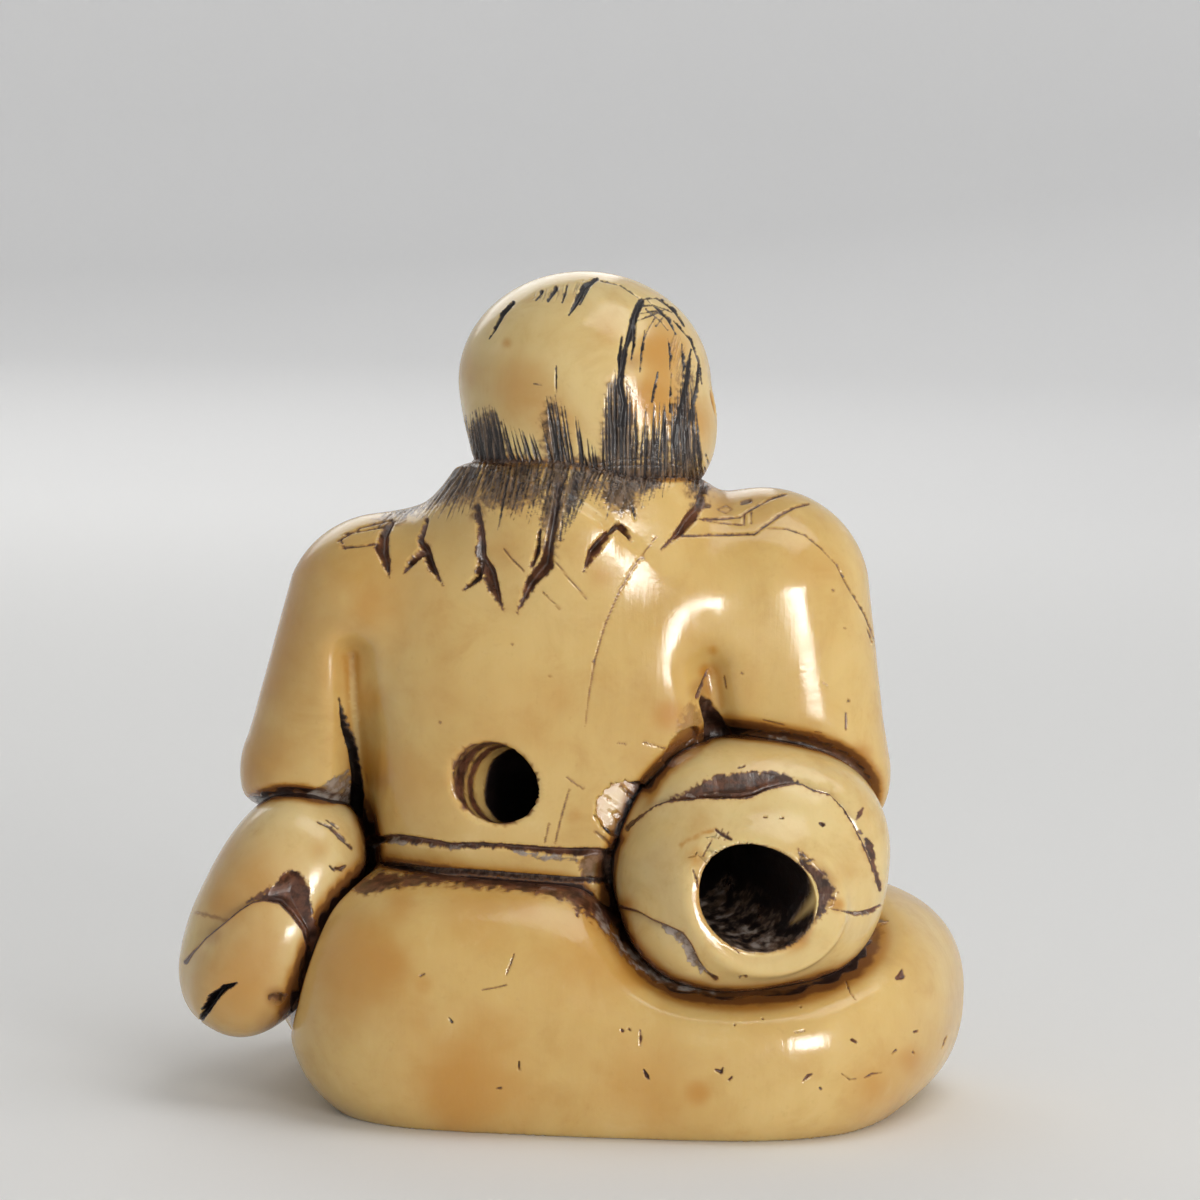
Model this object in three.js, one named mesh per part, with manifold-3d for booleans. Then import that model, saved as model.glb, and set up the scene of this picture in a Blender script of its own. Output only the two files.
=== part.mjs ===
// A seated figure in a loose robe, carved from one piece of ivory and worn on a sash by a cord.
// Millimetres, +Z up. The figure is shaped with +Y ahead of it and +X towards its right hand,
// and the group at the end turns it round to face -Y, with the origin under its middle, on the flat base.
import * as THREE from "three";
import { mergeVertices } from "three/addons/utils/BufferGeometryUtils.js";
import Module from "manifold-3d";

// Cord tunnel: two bores from the back that meet inside the body
const SMALL_HOLE_DIAMETER = 3.5;
const LARGE_HOLE_DIAMETER = 4.6;
const SMALL_HOLE_MOUTH = [-4.1, -6.4, 15.5];
const LARGE_HOLE_MOUTH = [7.9, -9.9, 11.1];
const TUNNEL_MEETING_POINT = [0.8, 1.5, 13.6];

// Where the piece is seen from behind: the back carving is laid out along these sight lines
const SIGHT_TARGET = [0.47, -3.0, 23.43];
const SIGHT_DISTANCE = 185;
const SIGHT_ELEVATION = 6;

// Head: the middle and half sizes of each soft form, from the middle of the skull
const head = { at: [-0.5, 0.5, 33.0], turn: [0, 0, -20] };
const skull = { at: [0, -0.1, 0.1], radii: [5.75, 5.7, 5.0] };
const face = { at: [0, 1.9, -1.5], radii: [4.6, 3.9, 4.3] };
const cheek = { at: [2.1, 3.6, -2.2], radii: [1.9, 1.7, 1.7] };
const chin = { at: [0, 4.1, -4.2], radii: [2.0, 1.5, 1.3] };
const brow = { at: [1.75, 4.75, 0.45], radii: [1.7, 0.8, 0.5], turn: [0, 12, -12] };
const eyelid = { at: [1.75, 4.55, -0.75], radii: [1.05, 0.8, 0.6] };
const noseBridge = { from: [0, 5.1, 0.1], to: [0, 6.1, -1.9], radii: [0.42, 0.6] };
const nostril = { at: [0.55, 5.5, -2.0], radii: [0.5, 0.55, 0.42] };
const mouth = { at: [0, 5.2, -3.25], radii: [1.1, 0.6, 0.55] };
const ear = { at: [5.0, 0.6, -1.4], radii: [0.8, 1.2, 1.9], turn: [10, 0, -12] };

// Body and arms
const shoulders = { at: [-0.8, 0.3, 22.3], radii: [10.8, 5.9, 6.3], squareness: 2.3 };
const back = { at: [-2.1, 0.6, 17.2], radii: [8.7, 7.2, 10.2], squareness: 2.4 };
const belly = { at: [-0.6, 2.0, 13.5], radii: [8.5, 6.6, 7.0], squareness: 2.4 };
const longHair = { from: [-0.5, 0.2, 31.3], to: [-1.3, -0.9, 27.2], radii: [5.1, 5.9] };
const rightUpperArm = { from: [7.9, 0.0, 23.6], to: [9.7, -0.7, 15.6], radii: [4.9, 4.2] };
const leftUpperArm = { from: [-9.3, 0.3, 22.1], to: [-12.2, 0.4, 14.9], radii: [4.7, 3.6] };
const rightForearm = { from: [9.6, 0.8, 15.2], to: [3.6, 7.6, 12.9], radii: [4.1, 3.4] };
const rightHanging = { at: [8.0, 4.2, 10.6], radii: [4.9, 4.6, 5.0], turn: [0, 0, -35], squareness: 2.4 };
const rightCuff = { at: [4.1, 8.3, 10.0], radii: [4.2, 3.7, 5.0], turn: [-8, 8, -32], squareness: 2.5 };
const leftForearm = { from: [-12.0, 1.8, 14.4], to: [-5.0, 7.6, 12.7], radii: [3.5, 3.2] };
const leftHanging = { at: [-9.4, 3.8, 10.4], radii: [3.9, 4.4, 4.8], turn: [0, 0, 35], squareness: 2.4 };
const leftCuff = { at: [-5.2, 8.1, 9.9], radii: [4.1, 3.7, 4.9], turn: [-8, -8, 32], squareness: 2.5 };

// Crossed legs under the robe
const leftHip = { at: [-4.2, -2.4, 5.1], radii: [9.0, 7.4, 6.6], squareness: 2.5 };
const rightHip = { at: [5.4, -3.0, 3.4], radii: [8.6, 6.6, 4.6], squareness: 2.6 };
const rightKnee = { at: [10.9, 1.6, 4.6], radii: [6.8, 9.0, 5.5], squareness: 2.4, turn: [0, 0, -16] };
const leftKnee = { at: [-7.2, 4.2, 5.0], radii: [6.9, 7.6, 5.4], squareness: 2.4, turn: [0, 0, 24] };
const rightShin = { from: [11.5, 5.0, 4.0], to: [-1.5, 9.6, 3.2], radii: [4.4, 3.5] };
const leftShin = { from: [-8.5, 6.0, 4.6], to: [3.0, 8.4, 5.4], radii: [4.2, 3.0] };
const seat = { at: [1.5, 1.5, 2.5], radii: [12.0, 9.0, 4.5], squareness: 2.6 };
const foot = { at: [-2.6, 11.2, 1.7], radii: [3.4, 2.6, 1.6], turn: [0, 4, 16], squareness: 2.2 };

// Rolled sleeve ends behind the hips, each a rim with a fuller lobe over it
const rightRim = { at: [7.8, -3.9, 11.9], radii: [6.05, 5.0, 5.6], turn: [0, 6, 0], squareness: 2.4 };
const rightLobe = { at: [7.2, -4.7, 11.0], radii: [5.6, 5.5, 4.75], turn: [0, -8, 0], squareness: 2.3 };
const leftRim = { at: [-14.1, -1.2, 8.5], radii: [3.4, 4.4, 6.0], turn: [0, 25, 0], squareness: 2.4 };
const leftLobe = { at: [-14.4, -2.3, 7.2], radii: [2.9, 4.3, 4.5], turn: [0, 30, 0], squareness: 2.3 };

// Sash band above the hips: two grooves cut round the back, between the left arm and the right sleeve end
const sash = { top: 12.6, bottom: 11.15, groove: 0.5, slope: -1.4 };
const waist = { middle: [-2.1, 0.6], radii: [9.0, 5.75], from: 194, to: 289 };

// Lines carved in the surface: points across and up in millimetres, with the depth and half width of the cut
const leftArmpit = { line: [[-10.6, 20.6], [-10.3, 16.2], [-10, 12.6]], depth: 1.3, width: 0.75 };
const rightArmpit = { line: [[5.4, 20.4], [5.9, 17.9]], depth: 1.2, width: 0.9 };
const sleeveFolds = [
  { line: [[7.5, 17.5], [5.2, 14.6], [3.6, 11.5]], depth: 0.5, width: 0.6 },
  { line: [[12, 14.5], [8.6, 12.6], [6.2, 8.6]], depth: 0.6, width: 0.7 },
  { line: [[-8.5, 16.8], [-6.6, 14.2], [-5, 11.2]], depth: 0.5, width: 0.6 },
  { line: [[-14, 13.2], [-10.4, 11.6], [-7.6, 8.2]], depth: 0.6, width: 0.7 },
];
const lapFolds = [
  { line: [[-13, 6.5], [-8, 6.6], [-3, 4.4], [5, 2.4]], depth: 0.5, width: 0.7 },
  { line: [[16, 6.8], [9, 5.6], [2, 3.6], [-6, 1.6]], depth: 0.6, width: 0.7 },
  { line: [[17, 3.2], [10, 2.4], [2, 1.2]], depth: 0.4, width: 0.6 },
  { line: [[-12, 2.6], [-6, 2.6], [-1, 1.6]], depth: 0.4, width: 0.6 },
];

// Robe edges: rolled bands laid on the chest, crossing left over right, points across and up
const leftLapel = {
  line: [[-4.9, 27.7], [-3.9, 25], [-0.9, 20.8], [2.6, 17.2], [4.6, 15.4]],
  radius: 1,
  sunk: 0.5,
};
const rightLapel = { line: [[3.6, 27.8], [2.8, 25], [0.6, 21.6], [-1, 19.8]], radius: 0.9, sunk: 0.5 };

// The parting between the two sleeves, cut as a V from in front
const parting = { middle: -0.5, low: 4.5, high: 15.2, mouth: 1.5, from: 9.3, to: 14 };

// Fields: functions of a point, negative inside a form, and near its skin close to the distance from it

function placed(field, { at, turn = [0, 0, 0] }) {
  const angles = turn.map(THREE.MathUtils.degToRad);
  const e = new THREE.Matrix4().makeRotationFromEuler(new THREE.Euler(...angles)).elements;
  return (x, y, z) => {
    const [dx, dy, dz] = [x - at[0], y - at[1], z - at[2]];
    return field(
      e[0] * dx + e[1] * dy + e[2] * dz,
      e[4] * dx + e[5] * dy + e[6] * dz,
      e[8] * dx + e[9] * dy + e[10] * dz,
    );
  };
}

function blob({ at, radii, turn, squareness: n = 2 }) {
  const [rx, ry, rz] = radii;
  const onAxes = (x, y, z) => {
    const [a, b, c] = [Math.abs(x) / rx + 1e-9, Math.abs(y) / ry + 1e-9, Math.abs(z) / rz + 1e-9];
    const reach = (a ** n + b ** n + c ** n) ** (1 / n);
    const slopeAlong = (share, radius) => (share / reach) ** (n - 1) / radius;
    return (reach - 1) / Math.hypot(slopeAlong(a, rx), slopeAlong(b, ry), slopeAlong(c, rz));
  };
  return placed(onAxes, { at, turn });
}

function limb({ from, to, radii }) {
  const [ax, ay, az] = to.map((value, axis) => value - from[axis]);
  const lengthSquared = ax * ax + ay * ay + az * az;
  return (x, y, z) => {
    const [ox, oy, oz] = [x - from[0], y - from[1], z - from[2]];
    const share = THREE.MathUtils.clamp((ox * ax + oy * ay + oz * az) / lengthSquared, 0, 1);
    const gap = Math.hypot(ox - share * ax, oy - share * ay, oz - share * az);
    return gap - THREE.MathUtils.lerp(...radii, share);
  };
}

function mirrored(form) {
  const [x, y, z] = form.at;
  const [tilt, roll, spin] = form.turn ?? [0, 0, 0];
  return { ...form, at: [-x, y, z], turn: [tilt, -roll, -spin] };
}

function blend(softness, ...fields) {
  const softMin = (a, b) => {
    const overlap = Math.max(softness - Math.abs(a - b), 0) / softness;
    return Math.min(a, b) - (overlap * overlap * softness) / 4;
  };
  return (x, y, z) => fields.map((field) => field(x, y, z)).reduce(softMin);
}

// A hollow worn into a form all round another form that rests in it
function nestled(field, guest, depth, width) {
  return (x, y, z) => field(x, y, z) + depth * Math.exp(-((guest(x, y, z) / width) ** 2));
}

function distanceToLine(line, u, v) {
  let nearest = Infinity;
  for (let i = 1; i < line.length; i += 1) {
    const [[u0, v0], [u1, v1]] = [line[i - 1], line[i]];
    const [du, dv] = [u1 - u0, v1 - v0];
    const share = THREE.MathUtils.clamp(((u - u0) * du + (v - v0) * dv) / (du * du + dv * dv), 0, 1);
    nearest = Math.min(nearest, Math.hypot(u - u0 - share * du, v - v0 - share * dv));
  }
  return nearest;
}

// Where a point appears, across and up, along the sight lines from behind
const tilt = THREE.MathUtils.degToRad(SIGHT_ELEVATION);
function seenFromBehind(x, y, z) {
  const [dx, dy, dz] = [x - SIGHT_TARGET[0], y - SIGHT_TARGET[1], z - SIGHT_TARGET[2]];
  const scale = SIGHT_DISTANCE / (SIGHT_DISTANCE + dy * Math.cos(tilt) - dz * Math.sin(tilt));
  const rise = dy * Math.sin(tilt) + dz * Math.cos(tilt);
  return [SIGHT_TARGET[0] + dx * scale, SIGHT_TARGET[2] + rise * scale];
}

function carvedBehind(field, { line, depth, width }) {
  return (x, y, z) => {
    const [u, v] = seenFromBehind(x, y, z);
    const here = 1 / (1 + Math.exp(y / 0.6));
    return field(x, y, z) + here * depth * Math.exp(-((distanceToLine(line, u, v) / width) ** 2));
  };
}

function carvedInFront(field, { line, depth, width }) {
  return (x, y, z) => {
    const here = 1 / (1 + Math.exp((3 - y) / 0.6));
    return field(x, y, z) + here * depth * Math.exp(-((distanceToLine(line, x, z) / width) ** 2));
  };
}

// The figure's forms as fields

const bothSides = (form) => [blob(form), blob(mirrored(form))];
const headField = placed(
  blend(
    0.5,
    blend(1.6, blob(skull), blob(face), ...bothSides(cheek), blob(chin)),
    blend(0.5, ...bothSides(brow), ...bothSides(eyelid)),
    blend(0.3, limb(noseBridge), ...bothSides(nostril)),
    blob(mouth),
    ...bothSides(ear),
  ),
  head,
);

const rightEndField = blend(0.3, blob(rightRim), blob(rightLobe));
const leftEndField = blend(0.3, blob(leftRim), blob(leftLobe));
const aroundSleeveEnds = (field) => nestled(nestled(field, rightEndField, 1.3, 1.2), leftEndField, 1.1, 1.0);

const trunk = blend(2.0, blob(shoulders), blob(back), blob(belly));
const clothed = blend(1.2, blend(0.9, trunk, limb(rightUpperArm), limb(leftUpperArm)), limb(longHair));
const rightSleeve = blend(2.0, limb(rightForearm), blob(rightHanging), blob(rightCuff));
const leftSleeve = blend(2.0, limb(leftForearm), blob(leftHanging), blob(leftCuff));
const underHead = nestled(clothed, placed(blob(skull), head), 0.8, 0.9);
const dressed = aroundSleeveEnds(blend(1.2, underHead, rightSleeve, leftSleeve));
const bodyField = sleeveFolds.reduce(carvedInFront, [leftArmpit, rightArmpit].reduce(carvedBehind, dressed));
const legs = blend(2.4, blob(leftHip), blob(rightHip), blob(rightKnee), blob(leftKnee), blob(seat));
const lapField = lapFolds.reduce(
  carvedInFront,
  aroundSleeveEnds(blend(2.4, legs, limb(rightShin), limb(leftShin))),
);

// Solids

const wasm = await Module();
wasm.setup();

function solid(geometry, matrix = new THREE.Matrix4()) {
  const bare = geometry.clone().applyMatrix4(matrix);
  bare.deleteAttribute("normal");
  bare.deleteAttribute("uv");
  const merged = mergeVertices(bare, 1e-4);
  return new wasm.Manifold(
    new wasm.Mesh({
      numProp: 3,
      vertProperties: new Float32Array(merged.attributes.position.array),
      triVerts: new Uint32Array(merged.index.array),
    }),
  );
}

// A ball of facets around a form, each corner drawn in along its own ray until it meets the form's skin
function wrapped(field, { centre, reach, detail }) {
  const step = 0.3;
  const refinements = 12;
  const [cx, cy, cz] = centre;
  const ball = new THREE.IcosahedronGeometry(1, detail).scale(...reach);
  ball.deleteAttribute("normal");
  ball.deleteAttribute("uv");
  const shell = mergeVertices(ball, 1e-4);
  const corners = shell.attributes.position;
  const ray = new THREE.Vector3();
  for (let i = 0; i < corners.count; i += 1) {
    ray.fromBufferAttribute(corners, i).normalize();
    const valueAt = (far) => field(cx + ray.x * far, cy + ray.y * far, cz + ray.z * far);
    let outside = 2 * Math.max(...reach);
    while (outside > step && valueAt(outside - step) > 0) outside -= step;
    let inside = outside - step;
    for (let turn = 0; turn < refinements; turn += 1) {
      const half = (inside + outside) / 2;
      if (valueAt(half) > 0) outside = half;
      else inside = half;
    }
    corners.setXYZ(i, cx + ray.x * inside, cy + ray.y * inside, cz + ray.z * inside);
  }
  return solid(shell);
}

// A drill that enters at the mouth and stops just past the point where the two bores meet
function drill(mouthPoint, diameter) {
  const overshoot = 1;
  const runOut = 3;
  const start = new THREE.Vector3(...mouthPoint);
  const end = new THREE.Vector3(...TUNNEL_MEETING_POINT);
  const axis = end.clone().sub(start);
  const length = axis.length() + runOut + overshoot;
  axis.normalize();
  const middle = start.clone().addScaledVector(axis, length / 2 - runOut);
  const turn = new THREE.Quaternion().setFromUnitVectors(new THREE.Vector3(0, 1, 0), axis);
  const bit = new THREE.CylinderGeometry(diameter / 2, diameter / 2, length, 28);
  return solid(bit, new THREE.Matrix4().compose(middle, turn, new THREE.Vector3(1, 1, 1)));
}

// A curved chisel that cuts round the back of the waist between two heights
function waistChisel(low, high) {
  const from = THREE.MathUtils.degToRad(waist.from);
  const to = THREE.MathUtils.degToRad(waist.to);
  const [rx, ry] = waist.radii;
  const cutterWidth = 5;
  const outline = new THREE.Shape();
  outline.absellipse(0, 0, rx, ry, from, to, false);
  outline.absellipse(0, 0, rx + cutterWidth, ry + cutterWidth, to, from, true);
  const slab = new THREE.ExtrudeGeometry(outline, {
    depth: high - low, bevelEnabled: false, curveSegments: 20,
  });
  const slope = THREE.MathUtils.degToRad(-sash.slope);
  return solid(slab, new THREE.Matrix4().makeRotationY(slope).setPosition(...waist.middle, low));
}

// The first point of the body met from straight ahead
function onChest(x, z, depth) {
  const step = 0.2;
  let y = 14;
  while (bodyField(x, y, z) > 0) y -= step;
  return new THREE.Vector3(x, y - depth, z);
}

function lapel({ line, radius, sunk }) {
  const path = new THREE.CatmullRomCurve3(line.map(([x, z]) => onChest(x, z, sunk)));
  const section = new THREE.Shape().absarc(0, 0, radius, 0, 2 * Math.PI);
  return solid(new THREE.ExtrudeGeometry(section, { extrudePath: path, steps: 11, curveSegments: 6 }));
}

function partingBlade() {
  const { middle, low, high, mouth: width, from, to } = parting;
  const wedge = new THREE.Shape([
    new THREE.Vector2(middle, from),
    new THREE.Vector2(middle + width / 2, to),
    new THREE.Vector2(middle - width / 2, to),
  ]);
  const blade = new THREE.ExtrudeGeometry(wedge, { depth: high - low, bevelEnabled: false });
  return solid(blade.translate(0, 0, low));
}

function block(low, high) {
  const size = high.map((value, axis) => value - low[axis]);
  const centre = high.map((value, axis) => (value + low[axis]) / 2);
  return solid(new THREE.BoxGeometry(...size).translate(...centre));
}

function figureSolid() {
  const torso = wrapped(bodyField, { centre: [-1, 1.5, 17], reach: [13, 8, 11], detail: 12 })
    .subtract(partingBlade())
    .add(lapel(rightLapel))
    .add(lapel(leftLapel))
    .subtract(waistChisel(sash.top - sash.groove / 2, sash.top + sash.groove / 2))
    .subtract(waistChisel(sash.bottom - sash.groove, sash.bottom));
  const lap = wrapped(lapField, { centre: [1.0, 1.0, 4.5], reach: [15.5, 11.5, 7], detail: 9 })
    .subtract(waistChisel(sash.bottom - sash.groove, sash.top + 1));
  const headSolid = wrapped(headField, { centre: [0.2, 2.5, 32.2], reach: [5.8, 5.8, 5.2], detail: 9 });
  const rightEnd = wrapped(rightEndField, { centre: rightRim.at, reach: rightRim.radii, detail: 6 });
  const leftEnd = wrapped(leftEndField, { centre: leftRim.at, reach: leftRim.radii, detail: 4 });
  const toes = wrapped(blob(foot), { centre: foot.at, reach: foot.radii, detail: 3 });
  return [lap, headSolid, rightEnd, leftEnd, toes]
    .reduce((whole, piece) => whole.add(piece), torso)
    .subtract(block([-30, -30, -10], [30, 30, 0]))
    .subtract(drill(SMALL_HOLE_MOUTH, SMALL_HOLE_DIAMETER))
    .subtract(drill(LARGE_HOLE_MOUTH, LARGE_HOLE_DIAMETER));
}

function geometryOf(shape) {
  const { vertProperties, triVerts, numProp } = shape.getMesh();
  const geometry = new THREE.BufferGeometry();
  const buffer = new THREE.InterleavedBuffer(vertProperties, numProp);
  geometry.setAttribute("position", new THREE.InterleavedBufferAttribute(buffer, 3, 0));
  geometry.setIndex(new THREE.BufferAttribute(triVerts, 1));
  const flat = geometry.toNonIndexed();
  flat.computeVertexNormals();
  return flat;
}

const ivory = new THREE.MeshStandardMaterial({ color: 0xd9bd84, roughness: 0.28, metalness: 0 });

const carving = geometryOf(figureSolid());
carving.computeBoundingBox();
const middle = carving.boundingBox.getCenter(new THREE.Vector3());
carving.translate(-middle.x, -middle.y, 0);

const figure = new THREE.Mesh(carving, ivory);
figure.name = "netsuke";

const netsuke = new THREE.Group();
netsuke.add(figure);
netsuke.rotation.z = Math.PI;

export default netsuke;
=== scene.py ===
"""A seated, robed figure carved from one piece of old ivory, seen from behind."""
import functools
import itertools
import math

import bpy
import numpy as np
from mathutils import Matrix, Vector


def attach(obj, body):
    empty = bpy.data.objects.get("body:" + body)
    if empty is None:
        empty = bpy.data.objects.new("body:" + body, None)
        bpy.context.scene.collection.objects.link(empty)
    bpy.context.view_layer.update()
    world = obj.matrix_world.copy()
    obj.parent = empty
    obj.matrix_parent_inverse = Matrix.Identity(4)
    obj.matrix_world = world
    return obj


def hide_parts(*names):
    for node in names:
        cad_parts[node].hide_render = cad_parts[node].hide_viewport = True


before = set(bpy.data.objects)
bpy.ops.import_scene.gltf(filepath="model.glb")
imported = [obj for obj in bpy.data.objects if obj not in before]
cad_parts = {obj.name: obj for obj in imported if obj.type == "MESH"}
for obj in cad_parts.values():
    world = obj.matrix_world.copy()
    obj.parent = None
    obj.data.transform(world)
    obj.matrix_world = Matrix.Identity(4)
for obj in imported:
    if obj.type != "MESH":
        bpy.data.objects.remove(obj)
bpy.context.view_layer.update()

F = np.float32
FINE = 1.0

# The sculpt is laid out in millimetres, with +Y ahead of the figure and +X towards its right hand.
# The model faces -Y, so a point is turned half round about this middle and scaled to metres.
SCULPT_MIDDLE = np.array([-0.093, 1.947, 0.0])


def to_model(points):
    return (points - SCULPT_MIDDLE) * np.array([-1.0, -1.0, 1.0]) / 1000.0


# The camera's sight lines, in the sculpt's own axes
SIGHT_TARGET = np.array([0.47, -3.0, 23.43])
SIGHT_DISTANCE = 185.0
SIGHT_ELEVATION = math.radians(6.0)
SIGHT_ROLL = math.radians(1.7)
PIXELS_PER_MM = 22.2
HALF_VIEW = 600 / PIXELS_PER_MM
SIGHT = np.array([0, math.cos(SIGHT_ELEVATION), -math.sin(SIGHT_ELEVATION)])
RISE = np.array([0, math.sin(SIGHT_ELEVATION), math.cos(SIGHT_ELEVATION)])
EYE = SIGHT_TARGET - SIGHT * SIGHT_DISTANCE


def seen(p):
    """Where points appear from behind, across and up in millimetres."""
    q = p - EYE.astype(F)
    scale = SIGHT_DISTANCE / (q @ SIGHT.astype(F))
    return SIGHT_TARGET[0] + q[:, 0] * scale, SIGHT_TARGET[2] + (q @ RISE.astype(F)) * scale


def pixel(p):
    """Where points appear in the photograph, across and down in its pixels."""
    u, v = seen(p)
    u, v = u - SIGHT_TARGET[0], v - SIGHT_TARGET[2]
    c, s = math.cos(SIGHT_ROLL), math.sin(SIGHT_ROLL)
    return 600 + PIXELS_PER_MM * (u * c + v * s), 600 - PIXELS_PER_MM * (v * c - u * s)


# Fields: negative inside a form, and near its skin close to the distance from it


def turned(turn):
    a, b, c = np.radians(turn)
    rx = np.array([[1, 0, 0], [0, np.cos(a), -np.sin(a)], [0, np.sin(a), np.cos(a)]])
    ry = np.array([[np.cos(b), 0, np.sin(b)], [0, 1, 0], [-np.sin(b), 0, np.cos(b)]])
    rz = np.array([[np.cos(c), -np.sin(c), 0], [np.sin(c), np.cos(c), 0], [0, 0, 1]])
    return rx @ ry @ rz


def placed(field, at, turn=(0, 0, 0)):
    m, at = turned(turn).astype(F), np.array(at, F)
    return lambda p: field((p - at) @ m)


def blob(at, radii, turn=(0, 0, 0), n=2.0):
    radii = np.array(radii, F)

    def on_axes(q):
        s = np.abs(q) / radii + F(1e-6)
        if n == 2.0:
            reach = np.sqrt((s * s).sum(1))
            slope = np.sqrt(((s / radii) ** 2).sum(1)) / reach
        else:
            reach = np.exp(np.log(np.exp(n * np.log(s)).sum(1)) / n)
            slope = np.sqrt(((np.exp((n - 1) * np.log(s / reach[:, None])) / radii) ** 2).sum(1))
        return (reach - 1) / slope

    return placed(on_axes, at, turn)


def limb(start, end, radii):
    start, along = np.array(start, F), np.array(end, F) - np.array(start, F)
    along_squared = float(along @ along)

    def field(p):
        o = p - start
        share = np.clip(o @ along / along_squared, 0, 1)
        gap = o - share[:, None] * along
        return np.sqrt((gap * gap).sum(1)) - (radii[0] + (radii[1] - radii[0]) * share)

    return field


def soft_min(a, b, k):
    overlap = np.maximum(k - np.abs(a - b), 0) / k
    return np.minimum(a, b) - overlap * overlap * (k / 4)


def blend(k, *fields):
    def field(p):
        value = fields[0](p)
        for other in fields[1:]:
            value = soft_min(value, other(p), k)
        return value

    return field


def nestled(field, guest, depth, width):
    return lambda p: field(p) + depth * np.exp(-((guest(p) / width) ** 2))


def to_segment(x, y, x0, y0, x1, y1):
    """How far along a segment its nearest place lies, from 0 to 1, and the distance to it."""
    dx, dy = x1 - x0, y1 - y0
    share = np.clip(((x - x0) * dx + (y - y0) * dy) / (dx * dx + dy * dy), 0, 1)
    return share, np.hypot(x - x0 - share * dx, y - y0 - share * dy)


def to_line(line, u, v):
    line = np.array(line, F)
    best = np.full(u.shape, 99.0, F)
    for start, end in zip(line[:-1], line[1:]):
        best = np.minimum(best, to_segment(u, v, *start, *end)[1])
    return best


def behind(p, edge=0.0):
    return 1 / (1 + np.exp((p[:, 1] - edge) / 0.6))


def in_front(p, edge=3.0):
    return 1 / (1 + np.exp((edge - p[:, 1]) / 0.6))


def carved_behind(field, line, depth, width):
    return lambda p: field(p) + behind(p) * depth * np.exp(-((to_line(line, *seen(p)) / width) ** 2))


def carved_in_front(field, line, depth, width):
    def field_with_cut(p):
        return field(p) + in_front(p) * depth * np.exp(-((to_line(line, p[:, 0], p[:, 2]) / width) ** 2))

    return field_with_cut


def bore(mouth, meeting, radius):
    mouth, meeting = np.array(mouth, float), np.array(meeting, float)
    out = (mouth - meeting) / np.linalg.norm(mouth - meeting)
    return limb(meeting - out * 0.3, mouth + out * 4.0, (radius, radius))


def mirrored(form):
    (x, y, z), radii, *rest = form
    turn = rest[0] if rest else (0, 0, 0)
    return ((-x, y, z), radii, (turn[0], -turn[1], -turn[2]), *rest[1:])


# Smooth random values, the same on every run


@functools.lru_cache
def lattice_of(seed):
    return np.random.default_rng(seed).uniform(-1, 1, (48, 48, 48)).astype(F)


def noise(p, size, seed):
    lattice = lattice_of(seed)
    q = np.asarray(p, F) / F(size) + F(200)
    base = np.floor(q).astype(int)
    f = q - base
    f = f * f * (3 - 2 * f)
    total = np.zeros(len(q), F)
    for d in itertools.product((0, 1), repeat=3):
        weight = np.prod(np.where(np.array(d) == 1, f, 1 - f), 1)
        total += weight * lattice[tuple(((base + d) % 48).T)]
    return total


# Drawings of cuts, stains and painted shadow, laid over the forms from behind or from in front


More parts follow.
